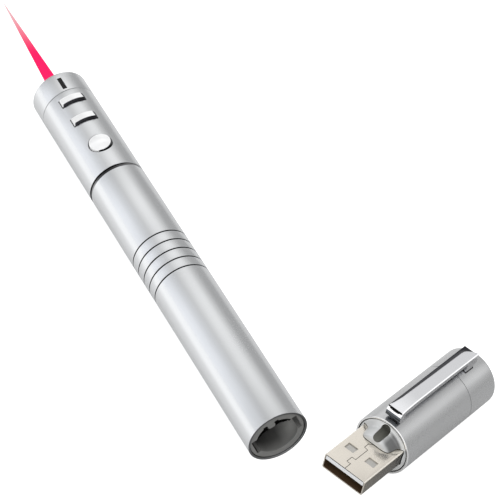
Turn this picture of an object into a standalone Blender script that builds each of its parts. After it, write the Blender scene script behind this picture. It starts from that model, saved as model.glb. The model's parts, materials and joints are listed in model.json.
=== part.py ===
"""A pen-sized laser pointer and slide changer, with the plug-in receiver that stows in its tail.

Each turned piece lies along the Y axis of its parent empty, with Z towards the buttons or the clip.
The pointer and its receiver lie apart on a table whose top is Z = 0.
"""

import math

import bmesh
import bpy
from mathutils import Vector

MM = 0.001

# Layout on the table
RECEIVER_X = 22.87 * MM
RECEIVER_Y = -10.05 * MM
RECEIVER_HEADING = math.radians(203)
FRONT_ROLL = math.radians(-15)
DOCK_ROLL = math.radians(-30)

# Clearances
FIT_GAP = 0.15 * MM
SEAT_GAP = 0.1 * MM
SLIDE_GAP = 0.2 * MM
OVERRUN = 2.0 * MM
WELD = 0.001 * MM

# Facets round a turned piece
SHELL_SIDES = 48
INNER_SIDES = 32
SMALL_SIDES = 20

# Plug
PLUG_WIDTH = 12.0 * MM
PLUG_HEIGHT = 4.5 * MM
PLUG_WALL = 0.3 * MM
PLUG_REACH = 15.0 * MM
PLUG_ROOT = 2.2 * MM
PLUG_OFFSET = 0.5 * MM
PLUG_CORNER = 0.4 * MM
CORNER_STEPS = 3
LATCH_HOLE_LENGTH = 2.1 * MM
LATCH_HOLE_WIDTH = 2.75 * MM
LATCH_HOLE_INSET = 6.2 * MM
LATCH_HOLE_SPREAD = 3.05 * MM
TONGUE_THICKNESS = 1.15 * MM
TONGUE_INSET = 0.1 * MM
TERMINAL_WIDTH = 1.0 * MM
TERMINAL_THICKNESS = 0.2 * MM
TERMINAL_LENGTH = 9.5 * MM
TERMINAL_INSET = 1.6 * MM
TERMINAL_SPREADS = (-3.5 * MM, -1.0 * MM, 1.0 * MM, 3.5 * MM)

# Dock liner in the pointer's tail
LINER_LAND = 0.9 * MM
LINER_WALL = 1.65 * MM
LINER_LENGTH = 30.0 * MM
LINER_RECESS = 0.3 * MM
DOCK_GAP = 0.25 * MM
DOCK_SPARE = 2.8 * MM
HOOK_WIDTH = 1.9 * MM
HOOK_BITE = 1.3 * MM
HOOK_LENGTH = 1.5 * MM
HOOK_STEPS = 6
NOTCH_WIDTH = 1.0 * MM
NOTCH_DEPTH = 0.2 * MM
NOTCH_LENGTH = 8.0 * MM

# Tube that the pointer and the receiver share, sized round the liner and the plug
TUBE_WALL = 0.55 * MM
TUBE_EDGE = 0.2 * MM
TUBE_FIT = PLUG_WIDTH / 2 + FIT_GAP + LINER_LAND
TUBE_BORE = TUBE_FIT + FIT_GAP
TUBE_RADIUS = TUBE_BORE + TUBE_WALL
AXIS_HEIGHT = TUBE_RADIUS * math.cos(math.pi / SHELL_SIDES)

# Battery bay
BATTERY_LENGTH = 44.5 * MM
BATTERY_RADIUS = 5.25 * MM
BATTERY_EDGE = 0.5 * MM
NUB_RADIUS = 1.9 * MM
NUB_LENGTH = 1.2 * MM
CONTACT_INSET = 0.95 * MM
CONTACT_THICKNESS = 0.4 * MM
SPRING_LENGTH = 8.5 * MM
SPRING_RADIUS = 3.4 * MM
SPRING_WIRE = 0.3 * MM
SPRING_TURNS = 5
SPRING_STEPS = 14

# Joint between the barrels: a collar with a thread, and a bright ring round it
JOINT_SPACE = 1.1 * MM
RING_LENGTH = 0.8 * MM
RING_RECESS = 0.4 * MM
COLLAR_GRIP = 6.25 * MM
COLLAR_WALL = 0.35 * MM
THREAD_LENGTH = 6.25 * MM
THREAD_DEPTH = 0.25 * MM
THREAD_PITCH = 1.0 * MM
INSERT_WALL = 0.65 * MM
INSERT_LENGTH = 5.4 * MM
CHASSIS_REACH = 0.8 * MM
THREAD_RADIUS = TUBE_FIT - INSERT_WALL - SLIDE_GAP
COLLAR_BORE = THREAD_RADIUS - THREAD_DEPTH - COLLAR_WALL

# Rear barrel, as long as what it holds
SPRING_START = LINER_LENGTH + CONTACT_THICKNESS + 2 * SEAT_GAP
BATTERY_START = SPRING_START + SPRING_LENGTH + SEAT_GAP
BATTERY_END = BATTERY_START + BATTERY_LENGTH
CHASSIS_START = BATTERY_END + SLIDE_GAP + CONTACT_THICKNESS + SEAT_GAP
COLLAR_START = CHASSIS_START + CHASSIS_REACH
REAR_LENGTH = COLLAR_START + COLLAR_GRIP
COLLAR_END = REAR_LENGTH + THREAD_LENGTH
GROOVE_COUNT = 5
GROOVE_FIRST = 52.5 * MM
GROOVE_PITCH = 3.28 * MM
GROOVE_WIDTH = 0.4 * MM
GROOVE_DEPTH = 0.25 * MM

# Keys
PAGE_WIDTH = 6.2 * MM
PAGE_LENGTH = 2.7 * MM
PAGE_TOE_RISE = 0.1 * MM
PAGE_RIDGE = 0.3 * MM
LASER_RADIUS = 2.9 * MM
DOME_RISE = 0.6 * MM
DOME_SHARES = (0.75, 0.5, 0.25)
KEY_RISE = 0.8 * MM
KEY_FLANGE = 0.5 * MM
FLANGE_LAP = 0.5 * MM
FLANGE_GAP = 0.3 * MM
PRESS_TRAVEL = 0.35 * MM
PRESS_ROOM = 0.1 * MM

# Front barrel, as long as its row of keys
LASER_SETBACK = 0.65 * MM
LASER_TO_PAGE = 10.55 * MM
PAGE_PITCH = 7.85 * MM
PAGE_INSET = 3.6 * MM
FRONT_START = REAR_LENGTH + JOINT_SPACE
INSERT_START = FRONT_START + FIT_GAP
INSERT_END = INSERT_START + INSERT_LENGTH
LASER_AT = INSERT_END + LASER_SETBACK + LASER_RADIUS
PAGE_BACK_AT = LASER_AT + LASER_TO_PAGE
PAGE_FORWARD_AT = PAGE_BACK_AT + PAGE_PITCH
FRONT_END = PAGE_FORWARD_AT + PAGE_INSET

# Head
HEAD_EDGE = 0.5 * MM
HEAD_FACE = 1.3 * MM
SPIGOT_LENGTH = 1.4 * MM
SPIGOT_WALL = 0.5 * MM
EDGE_STEPS = 4
APERTURE_RADIUS = 2.2 * MM
APERTURE_FLARE = 0.5 * MM
INDICATOR_SETBACK = 0.7 * MM
INDICATOR_LENGTH = 4.5 * MM
INDICATOR_INSET = 2.0 * MM
INDICATOR_WIDTH = 1.15 * MM
INDICATOR_DEPTH = 1.9 * MM
HEAD_START = FRONT_END + FIT_GAP
INDICATOR_START = HEAD_START + INDICATOR_SETBACK
INDICATOR_END = INDICATOR_START + INDICATOR_LENGTH
POINTER_LENGTH = INDICATOR_END + INDICATOR_INSET
SPIGOT_BORE = TUBE_FIT - SPIGOT_WALL

# Circuit board and what is on it, down from the keys
BOARD_THICKNESS = 0.8 * MM
BOARD_NOSE = 3.3 * MM
SWITCH_SIDE = 3.0 * MM
SWITCH_HEIGHT = 0.65 * MM
PLUNGER_RADIUS = 0.7 * MM
PLUNGER_HEIGHT = 0.35 * MM
CHIP_SIDE = 3.2 * MM
CHIP_HEIGHT = 0.8 * MM
CRYSTAL_LENGTH = 2.5 * MM
CRYSTAL_WIDTH = 1.6 * MM
CRYSTAL_HEIGHT = 0.7 * MM
LED_LENGTH = 1.6 * MM
LED_WIDTH = 0.8 * MM
LED_HEIGHT = 0.7 * MM
KEY_TOP = TUBE_RADIUS + KEY_RISE
KEY_REACH = max(PAGE_WIDTH / 2, LASER_RADIUS + FLANGE_LAP)
FLANGE_TOP = math.sqrt(TUBE_BORE**2 - KEY_REACH**2) - FLANGE_GAP
KEY_FOOT = FLANGE_TOP - KEY_FLANGE
SWITCH_TOP = KEY_FOOT - PRESS_ROOM - PRESS_TRAVEL - PLUNGER_HEIGHT
BOARD_TOP = SWITCH_TOP - SWITCH_HEIGHT - SEAT_GAP
BOARD_LOW = BOARD_TOP - BOARD_THICKNESS
BOARD_HALF = math.sqrt(SPIGOT_BORE**2 - BOARD_TOP**2) - SLIDE_GAP

# Laser module
MODULE_RADIUS = 3.0 * MM
MODULE_WALL = 0.8 * MM
MODULE_LENGTH = 11.0 * MM
WINDOW_LAP = 1.0 * MM
WINDOW_THICKNESS = 0.9 * MM
LENS_EDGE = 0.6 * MM
LENS_CROWN = 0.5 * MM
LENS_INSET = 2.0 * MM
DIODE_STEP = 0.45 * MM
DIODE_CAN_LENGTH = 2.3 * MM
DIODE_BASE_LENGTH = 1.0 * MM
WINDOW_END = POINTER_LENGTH - HEAD_FACE - SLIDE_GAP
WINDOW_START = WINDOW_END - WINDOW_THICKNESS
MODULE_END = WINDOW_START - SLIDE_GAP
MODULE_START = MODULE_END - MODULE_LENGTH
MODULE_BORE = MODULE_RADIUS - MODULE_WALL

# Chassis inside the front barrel
TRAY_LEDGE = 0.8 * MM
TRAY_END = 2.0 * MM
TRAY_FLOOR = 2.6 * MM
CRADLE_OPENING = 4.0 * MM
CHASSIS_SHOULDER = INSERT_END + FIT_GAP
CHASSIS_END = HEAD_START - SPIGOT_LENGTH - SLIDE_GAP
CHASSIS_TOP = BOARD_LOW - SEAT_GAP

# Receiver shell
SLEEVE_LENGTH = 25.7 * MM
CAP_LENGTH = 10.15 * MM
CAP_FACE = 1.0 * MM
CAP_EDGE = 0.5 * MM
SEAM = SLEEVE_LENGTH + FIT_GAP
RECEIVER_LENGTH = SEAM + CAP_LENGTH

# Receiver nose, with the carrier for its board behind it
NOSE_LENGTH = 3.9 * MM
NOSE_ROUND = 1.6 * MM
NOSE_FLANGE = 3.0 * MM
POCKET_WIDTH = 2.6 * MM
POCKET_LENGTH = 4.7 * MM
POCKET_BACK = 1.3 * MM
POCKET_STEPS = 6
CARRIER_SPARE = 2.2 * MM
CARRIER_DROP = 0.8 * MM
CARRIER_WALL = 1.6 * MM
CARRIER_FLOOR = 3.4 * MM
RX_BOARD_INSET = 1.85 * MM
RX_CHIP_BACK = 5.0 * MM
RX_CRYSTAL_BACK = 11.0 * MM
NOSE_RADIUS = TUBE_FIT - LINER_WALL - DOCK_GAP
HOOK_RADIUS = NOSE_RADIUS - HOOK_BITE
CARRIER_LENGTH = SLEEVE_LENGTH - CARRIER_SPARE
RX_BOARD_HALF = TUBE_FIT - RX_BOARD_INSET

# Clip and its pivot, behind the seam
CLIP_WIDTH = 4.2 * MM
CLIP_RISE = 3.5 * MM
CLIP_THICKNESS = 1.3 * MM
CLIP_TIP_INSET = 1.2 * MM
CLIP_TAIL = 1.45 * MM
CLIP_ROUND = 0.6 * MM
CLIP_BEVEL = 0.3 * MM
BEAD_LENGTH = 2.0 * MM
BEAD_GAP = 0.4 * MM
FOOT_SETBACK = 2.55 * MM
FOOT_LENGTH = 2.7 * MM
TAIL_GAP = 0.5 * MM
PIN_DROP = 2.0 * MM
PIN_RADIUS = 0.5 * MM
EAR_THICKNESS = 0.8 * MM
EAR_RISE = 0.8 * MM
BRACKET_BASE = 0.7 * MM
BRACKET_REACH = 1.35 * MM
LEAF_THICKNESS = 0.25 * MM
LEAF_INSET = 0.4 * MM
CLIP_TOP = TUBE_RADIUS + CLIP_RISE
FOOT_HALF = FOOT_LENGTH / 2
PIN_BACK = SEAM + FOOT_SETBACK + FOOT_HALF
PIN_HEIGHT = TUBE_BORE - PIN_DROP
LEAF_TOP = PIN_HEIGHT - FOOT_HALF - SEAT_GAP
BRACKET_FLOOR = LEAF_TOP - LEAF_THICKNESS - SEAT_GAP

# Colour, roughness and metallic value of each material
LOOKS = {
    "satin_aluminium": ((0.78, 0.79, 0.80), 0.35, 1.0),
    "chrome": ((0.86, 0.86, 0.88), 0.08, 1.0),
    "plug_steel": ((0.83, 0.79, 0.74), 0.28, 1.0),
    "liner_plastic": ((0.26, 0.26, 0.25), 0.5, 0.0),
    "nose_plastic": ((0.52, 0.53, 0.53), 0.35, 0.0),
    "black_plastic": ((0.02, 0.02, 0.02), 0.35, 0.0),
    "white_plastic": ((0.72, 0.72, 0.70), 0.5, 0.0),
    "brass": ((0.78, 0.60, 0.30), 0.3, 1.0),
    "board_green": ((0.04, 0.22, 0.10), 0.45, 0.0),
    "chip_black": ((0.03, 0.03, 0.035), 0.5, 0.0),
    "nickel": ((0.70, 0.69, 0.66), 0.25, 1.0),
    "gold": ((0.86, 0.66, 0.30), 0.25, 1.0),
    "cell_wrap": ((0.12, 0.30, 0.50), 0.4, 0.0),
    "lens_glass": ((0.75, 0.80, 0.82), 0.05, 0.0),
    "led_lens": ((0.80, 0.20, 0.16), 0.3, 0.0),
}


def clear_scene():
    """Remove what a new file starts with."""
    for obj in list(bpy.data.objects):
        bpy.data.objects.remove(obj, do_unlink=True)


def make_material(name):
    """A Principled material from its row in the table of looks."""
    colour, roughness, metallic = LOOKS[name]
    material = bpy.data.materials.new(name)
    material.use_nodes = True
    shader = material.node_tree.nodes["Principled BSDF"]
    shader.inputs["Base Color"].default_value = (*colour, 1.0)
    shader.inputs["Roughness"].default_value = roughness
    shader.inputs["Metallic"].default_value = metallic
    return material


def look(name):
    """The material of that name, made the first time it is asked for."""
    return bpy.data.materials.get(name) or make_material(name)


def add_empty(name, parent=None, location=(0, 0, 0), rotation=(0, 0, 0)):
    """An empty that carries other pieces."""
    holder = bpy.data.objects.new(name, None)
    bpy.context.scene.collection.objects.link(holder)
    holder.parent = parent
    holder.location = location
    holder.rotation_euler = rotation
    return holder


def add_mesh(name, bm, material, parent):
    """Turn a bmesh into a named object under its parent."""
    bmesh.ops.remove_doubles(bm, verts=bm.verts, dist=WELD)
    bmesh.ops.recalc_face_normals(bm, faces=bm.faces)
    mesh = bpy.data.meshes.new(name)
    bm.to_mesh(mesh)
    bm.free()
    mesh.shade_smooth()
    mesh.set_sharp_from_angle(angle=math.radians(30))
    obj = bpy.data.objects.new(name, mesh)
    bpy.context.scene.collection.objects.link(obj)
    obj.parent = parent
    if material:
        mesh.materials.append(look(material))
    return obj


def turned(name, outline, material, parent, sides=SHELL_SIDES):
    """Spin an outline of (along Y, radius) points round Y. One that ends on the axis stays open there."""
    bm = bmesh.new()
    first = math.pi / sides
    points = [bm.verts.new((r * math.sin(first), y, r * math.cos(first))) for y, r in outline]
    on_axis = outline[0][1] == 0 and outline[-1][1] == 0
    pairs = list(zip(points, points[1:])) + ([] if on_axis else [(points[-1], points[0])])
    edges = [bm.edges.new(pair) for pair in pairs]
    bmesh.ops.spin(
        bm, geom=points + edges, cent=(0, 0, 0), axis=(0, 1, 0),
        angle=2 * math.pi, steps=sides, use_merge=True,
    )
    return add_mesh(name, bm, material, parent)


def prism(name, outline, start, end, material, parent, axis="Y"):
    """Carry a flat outline from start to end: (X, Z) for axis Y, (Y, Z) for X and (X, Y) for Z."""
    spots = {
        "X": lambda a, b, c: (c, a, b),
        "Y": lambda a, b, c: (a, c, b),
        "Z": lambda a, b, c: (a, b, c),
    }
    bm = bmesh.new()
    face = bm.faces.new([bm.verts.new(spots[axis](a, b, start)) for a, b in outline])
    swept = bmesh.ops.extrude_face_region(bm, geom=[face])["geom"]
    moved = [v for v in swept if isinstance(v, bmesh.types.BMVert)]
    bmesh.ops.translate(bm, verts=moved, vec=spots[axis](0, 0, end - start))
    return add_mesh(name, bm, material, parent)


def block(name, low, high, material, parent):
    """A box between its lowest and highest corner."""
    corners = [(low[0], low[2]), (high[0], low[2]), (high[0], high[2]), (low[0], high[2])]
    return prism(name, corners, low[1], high[1], material, parent)


def upright(name, radius, y, low, high, material, parent, sides=INNER_SIDES):
    """A round bar that stands along Z over a place on the Y axis."""
    ring = [
        (radius * math.cos(2 * math.pi * i / sides), y + radius * math.sin(2 * math.pi * i / sides))
        for i in range(sides)
    ]
    return prism(name, ring, low, high, material, parent, axis="Z")


def boolean(target, tool, operation, solver="EXACT"):
    """Cut a hidden tool from the target, join it on, or keep what they share."""
    modifier = target.modifiers.new(tool.name, "BOOLEAN")
    modifier.operation = operation
    modifier.solver = solver
    modifier.object = tool
    tool.hide_render = True
    tool.display_type = "WIRE"
    return target


def bevelled(target, width, segments=1):
    """Take the sharp edges off a piece."""
    modifier = target.modifiers.new("edges", "BEVEL")
    modifier.width = width
    modifier.segments = segments
    modifier.limit_method = "ANGLE"
    modifier.angle_limit = math.radians(40)
    return target


def arc(centre, radius, start, end, steps):
    """Points along an arc, both ends included, with angles in degrees."""
    angles = [math.radians(start + (end - start) * i / steps) for i in range(steps + 1)]
    return [(centre[0] + radius * math.cos(a), centre[1] + radius * math.sin(a)) for a in angles]


def rounded_box(width, height, corner, middle=0.0):
    """A rectangle with round corners, centred on X and raised to the given middle."""
    right, top = width / 2 - corner, height / 2 - corner
    return (
        arc((right, middle + top), corner, 0, 90, CORNER_STEPS)
        + arc((-right, middle + top), corner, 90, 180, CORNER_STEPS)
        + arc((-right, middle - top), corner, 180, 270, CORNER_STEPS)
        + arc((right, middle - top), corner, 270, 360, CORNER_STEPS)
    )


def make_rear_barrel(parent):
    """The long tube with the grip grooves. Its open tail takes the receiver."""
    outline = [(0, TUBE_BORE), (0, TUBE_RADIUS - TUBE_EDGE), (TUBE_EDGE, TUBE_RADIUS)]
    for i in range(GROOVE_COUNT):
        low = GROOVE_FIRST + i * GROOVE_PITCH - GROOVE_WIDTH / 2
        high = low + GROOVE_WIDTH
        floor = TUBE_RADIUS - GROOVE_DEPTH
        outline += [(low, TUBE_RADIUS), (low, floor), (high, floor), (high, TUBE_RADIUS)]
    outline += [(REAR_LENGTH - TUBE_EDGE, TUBE_RADIUS), (REAR_LENGTH, TUBE_RADIUS - TUBE_EDGE)]
    outline += [(REAR_LENGTH, TUBE_BORE)]
    turned("rear_barrel", outline, "satin_aluminium", parent)


def make_dock_liner(parent):
    """The moulded liner that the receiver's nose and plug push into, with its snap hook.

    Its cuts use the manifold solver, because the exact one leaves this piece open.
    """
    liner = turned(
        "dock_liner",
        [(LINER_RECESS, 0), (LINER_RECESS, TUBE_FIT), (LINER_LENGTH, TUBE_FIT), (LINER_LENGTH, 0)],
        "liner_plastic", parent,
    )
    mouth = NOSE_RADIUS + DOCK_GAP
    nose_depth = NOSE_LENGTH + DOCK_SPARE
    bore = turned(
        "dock_bore_cutter",
        [(-OVERRUN, 0), (-OVERRUN, mouth), (nose_depth, mouth), (nose_depth, 0)],
        None, parent,
    )
    boolean(liner, bore, "DIFFERENCE", "MANIFOLD")
    half_width = PLUG_WIDTH / 2 + FIT_GAP
    half_height = PLUG_HEIGHT / 2 + SLIDE_GAP
    slot = block(
        "dock_slot_cutter",
        (-half_width, -OVERRUN, PLUG_OFFSET - half_height),
        (half_width, PLUG_REACH + DOCK_SPARE, PLUG_OFFSET + half_height),
        None, parent,
    )
    boolean(liner, slot, "DIFFERENCE", "MANIFOLD")
    for side, name in ((-1, "left"), (1, "right")):
        near = side * (HOOK_WIDTH / 2 + SEAT_GAP)
        far = side * (HOOK_WIDTH / 2 + SEAT_GAP + NOTCH_WIDTH)
        notch = block(
            f"hook_notch_{name}_cutter",
            (min(near, far), -OVERRUN, HOOK_RADIUS),
            (max(near, far), NOTCH_LENGTH, mouth + NOTCH_DEPTH),
            None, parent,
        )
        boolean(liner, notch, "DIFFERENCE", "MANIFOLD")
    half = HOOK_WIDTH / 2
    hook_outline = [(half, mouth + NOTCH_DEPTH / 2), (half, HOOK_RADIUS + half)]
    hook_outline += arc((0, HOOK_RADIUS + half), half, 0, -180, HOOK_STEPS)[1:]
    hook_outline += [(-half, mouth + NOTCH_DEPTH / 2)]
    hook_start = LINER_RECESS + SEAT_GAP
    hook = prism("snap_hook_tool", hook_outline, hook_start, hook_start + HOOK_LENGTH, None, parent)
    boolean(liner, hook, "UNION", "MANIFOLD")


def make_battery_bay(parent):
    """Battery, its spring and plate, and the sleeve that centres it in the rear barrel."""
    sleeve_start = LINER_LENGTH + SEAT_GAP
    sleeve_end = COLLAR_START - SEAT_GAP
    sleeve_bore = BATTERY_RADIUS + SLIDE_GAP
    turned(
        "battery_sleeve",
        [
            (sleeve_start, sleeve_bore), (sleeve_start, TUBE_FIT),
            (sleeve_end, TUBE_FIT), (sleeve_end, sleeve_bore),
        ],
        "black_plastic", parent, INNER_SIDES,
    )
    body_end = BATTERY_END - NUB_LENGTH
    turned(
        "battery",
        [
            (BATTERY_START, 0), (BATTERY_START, BATTERY_RADIUS - BATTERY_EDGE),
            (BATTERY_START + BATTERY_EDGE, BATTERY_RADIUS),
            (body_end - BATTERY_EDGE, BATTERY_RADIUS), (body_end, BATTERY_RADIUS - BATTERY_EDGE),
            (body_end, NUB_RADIUS), (BATTERY_END, NUB_RADIUS), (BATTERY_END, 0),
        ],
        "cell_wrap", parent, INNER_SIDES,
    )
    make_contact("negative_contact", LINER_LENGTH + SEAT_GAP, parent)
    make_coil(
        "battery_spring", SPRING_START + SPRING_WIRE, SPRING_START + SPRING_LENGTH - SPRING_WIRE, parent,
    )


def make_contact(name, start, parent):
    """A round contact plate that starts at the given place along the tube."""
    radius = BATTERY_RADIUS - CONTACT_INSET
    end = start + CONTACT_THICKNESS
    turned(name, [(start, 0), (start, radius), (end, radius), (end, 0)], "nickel", parent, SMALL_SIDES)


def make_coil(name, start, end, parent):
    """A wire spring wound round Y as one unbroken helix."""
    steps = SPRING_STEPS * SPRING_TURNS
    curve = bpy.data.curves.new(name, "CURVE")
    curve.dimensions = "3D"
    curve.bevel_depth = SPRING_WIRE
    curve.bevel_resolution = 1
    curve.use_fill_caps = True
    spline = curve.splines.new("POLY")
    spline.points.add(steps)
    for i, point in enumerate(spline.points):
        turn = 2 * math.pi * SPRING_TURNS * i / steps
        y = start + (end - start) * i / steps
        point.co = (SPRING_RADIUS * math.cos(turn), y, SPRING_RADIUS * math.sin(turn), 1)
    coil = bpy.data.objects.new(name, curve)
    bpy.context.scene.collection.objects.link(coil)
    coil.parent = parent
    curve.materials.append(look("nickel"))


def make_joint_collar(parent):
    """The collar fixed in the rear barrel. The front barrel screws onto its thread."""
    root = THREAD_RADIUS - THREAD_DEPTH
    outline = [(COLLAR_START, COLLAR_BORE), (COLLAR_START, TUBE_FIT), (REAR_LENGTH, TUBE_FIT)]
    outline += [(REAR_LENGTH, root)]
    crests = int((THREAD_LENGTH - JOINT_SPACE) / THREAD_PITCH)
    for i in range(crests):
        foot = FRONT_START + i * THREAD_PITCH
        quarter = THREAD_PITCH / 4
        outline += [(foot + quarter, root), (foot + 2 * quarter, THREAD_RADIUS)]
        outline += [(foot + 3 * quarter, root)]
    outline += [(COLLAR_END, root), (COLLAR_END, COLLAR_BORE)]
    turned("threaded_collar", outline, "brass", parent, INNER_SIDES)


def make_trim_ring(parent):
    """The bright ring that shows between the two barrels."""
    start = REAR_LENGTH + (JOINT_SPACE - RING_LENGTH) / 2
    end = start + RING_LENGTH
    outer = TUBE_RADIUS - RING_RECESS
    bore = THREAD_RADIUS + SLIDE_GAP
    turned("trim_ring", [(start, bore), (start, outer), (end, outer), (end, bore)], "chrome", parent)


def make_front_barrel(parent):
    """The short tube with the three button windows, and the threaded insert in its rear end."""
    barrel = turned(
        "front_barrel",
        [
            (FRONT_START, TUBE_BORE), (FRONT_START, TUBE_RADIUS - TUBE_EDGE),
            (FRONT_START + TUBE_EDGE, TUBE_RADIUS), (FRONT_END - TUBE_EDGE, TUBE_RADIUS),
            (FRONT_END, TUBE_RADIUS - TUBE_EDGE), (FRONT_END, TUBE_BORE),
        ],
        "satin_aluminium", parent,
    )
    half_width = PAGE_WIDTH / 2 + SLIDE_GAP
    half_length = PAGE_LENGTH / 2 + SLIDE_GAP
    for name, place in (("page_forward", PAGE_FORWARD_AT), ("page_back", PAGE_BACK_AT)):
        window = block(
            f"{name}_window_cutter",
            (-half_width, place - half_length, BOARD_TOP),
            (half_width, place + half_length, KEY_TOP + OVERRUN),
            None, parent,
        )
        boolean(barrel, window, "DIFFERENCE")
    window = upright(
        "laser_window_cutter", LASER_RADIUS + SLIDE_GAP, LASER_AT,
        BOARD_TOP, KEY_TOP + OVERRUN, None, parent,
    )
    boolean(barrel, window, "DIFFERENCE")
    insert_bore = THREAD_RADIUS + SLIDE_GAP
    turned(
        "thread_insert",
        [
            (INSERT_START, insert_bore), (INSERT_START, TUBE_FIT),
            (INSERT_END, TUBE_FIT), (INSERT_END, insert_bore),
        ],
        "brass", parent, INNER_SIDES,
    )


def make_head(parent):
    """The nose cap with the laser's aperture and the slot for the indicator."""
    tip = POINTER_LENGTH
    spigot_start = HEAD_START - SPIGOT_LENGTH
    inner_face = tip - HEAD_FACE
    outline = [(spigot_start, SPIGOT_BORE), (spigot_start, TUBE_FIT), (HEAD_START, TUBE_FIT)]
    outline += [(HEAD_START, TUBE_RADIUS - TUBE_EDGE), (HEAD_START + TUBE_EDGE, TUBE_RADIUS)]
    corner = (tip - HEAD_EDGE, TUBE_RADIUS - HEAD_EDGE)
    outline += arc(corner, HEAD_EDGE, 90, 0, EDGE_STEPS)
    outline += [(tip, APERTURE_RADIUS + APERTURE_FLARE), (tip - APERTURE_FLARE, APERTURE_RADIUS)]
    outline += [(inner_face, APERTURE_RADIUS), (inner_face, TUBE_BORE)]
    outline += [(HEAD_START + TUBE_WALL, TUBE_BORE), (HEAD_START + TUBE_WALL, SPIGOT_BORE)]
    head = turned("head", outline, "satin_aluminium", parent)
    half = INDICATOR_WIDTH / 2
    window_foot = TUBE_RADIUS - INDICATOR_DEPTH
    slot = block(
        "indicator_slot_cutter",
        (-half, INDICATOR_START, window_foot), (half, INDICATOR_END, TUBE_RADIUS + OVERRUN),
        None, parent,
    )
    boolean(head, slot, "DIFFERENCE")
    block(
        "indicator_window",
        (-half + SEAT_GAP, INDICATOR_START + SEAT_GAP, window_foot),
        (half - SEAT_GAP, INDICATOR_END - SEAT_GAP, TUBE_RADIUS - SEAT_GAP),
        "black_plastic", parent,
    )


def make_laser_module(parent):
    """Brass housing with the diode and the lens, behind the head's clear window."""
    turned(
        "laser_housing",
        [
            (MODULE_START, MODULE_BORE), (MODULE_START, MODULE_RADIUS),
            (MODULE_END, MODULE_RADIUS), (MODULE_END, MODULE_BORE),
        ],
        "brass", parent, INNER_SIDES,
    )
    base = MODULE_START + DIODE_BASE_LENGTH
    can = base + DIODE_CAN_LENGTH
    base_radius = MODULE_BORE - FIT_GAP
    can_radius = base_radius - DIODE_STEP
    turned(
        "laser_diode",
        [
            (MODULE_START, 0), (MODULE_START, base_radius), (base, base_radius),
            (base, can_radius), (can, can_radius), (can, 0),
        ],
        "gold", parent, SMALL_SIDES,
    )
    lens_start = MODULE_END - LENS_INSET - LENS_EDGE
    lens_end = lens_start + LENS_EDGE
    lens_radius = MODULE_BORE - SLIDE_GAP
    turned(
        "laser_lens",
        [
            (lens_start, 0), (lens_start, lens_radius), (lens_end, lens_radius),
            (lens_end + LENS_CROWN * 3 / 4, lens_radius / 2), (lens_end + LENS_CROWN, 0),
        ],
        "lens_glass", parent, SMALL_SIDES,
    )
    window_radius = APERTURE_RADIUS + WINDOW_LAP
    turned(
        "aperture_window",
        [(WINDOW_START, 0), (WINDOW_START, window_radius), (WINDOW_END, window_radius), (WINDOW_END, 0)],
        "lens_glass", parent, INNER_SIDES,
    )


def make_chassis(parent):
    """The moulded chassis: a plug that reaches the battery, and a tray for the board and the laser."""
    tail = COLLAR_BORE - 2 * SLIDE_GAP
    chassis = turned(
        "front_chassis",
        [
            (CHASSIS_START, 0), (CHASSIS_START, tail), (CHASSIS_SHOULDER, tail),
            (CHASSIS_SHOULDER, TUBE_FIT), (CHASSIS_END, TUBE_FIT), (CHASSIS_END, 0),
        ],
        "white_plastic", parent, INNER_SIDES,
    )
    flat = block(
        "chassis_flat_cutter",
        (-TUBE_RADIUS, CHASSIS_SHOULDER - SEAT_GAP, CHASSIS_TOP),
        (TUBE_RADIUS, CHASSIS_END + OVERRUN, TUBE_RADIUS + OVERRUN),
        None, parent,
    )
    boolean(chassis, flat, "DIFFERENCE")
    half = BOARD_HALF - TRAY_LEDGE
    tray = block(
        "chassis_tray_cutter",
        (-half, CHASSIS_SHOULDER + TRAY_END, -TRAY_FLOOR),
        (half, MODULE_START - TRAY_END, CHASSIS_TOP + OVERRUN),
        None, parent,
    )
    boolean(chassis, tray, "DIFFERENCE")
    cradle_radius = MODULE_RADIUS + FIT_GAP
    seat = MODULE_START - SLIDE_GAP
    front = CHASSIS_END + OVERRUN
    bore = turned(
        "chassis_bore_cutter",
        [(seat, 0), (seat, cradle_radius), (front, cradle_radius), (front, 0)],
        None, parent, INNER_SIDES,
    )
    boolean(chassis, bore, "DIFFERENCE")
    opening = block(
        "cradle_opening_cutter",
        (-CRADLE_OPENING / 2, seat, 0), (CRADLE_OPENING / 2, front, CHASSIS_TOP + OVERRUN),
        None, parent,
    )
    boolean(chassis, opening, "DIFFERENCE")
    make_contact("positive_contact", CHASSIS_START - SEAT_GAP - CONTACT_THICKNESS, parent)


def make_switch(name, place, parent):
    """A low push switch on the board, with its plunger under one button."""
    foot = BOARD_TOP + SEAT_GAP
    top = foot + SWITCH_HEIGHT
    half = SWITCH_SIDE / 2
    body = block(name, (-half, place - half, foot), (half, place + half, top), "nickel", parent)
    plunger = upright(
        f"{name}_plunger_tool", PLUNGER_RADIUS, place, (foot + top) / 2, top + PLUNGER_HEIGHT,
        None, parent, SMALL_SIDES,
    )
    boolean(body, plunger, "UNION")


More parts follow.
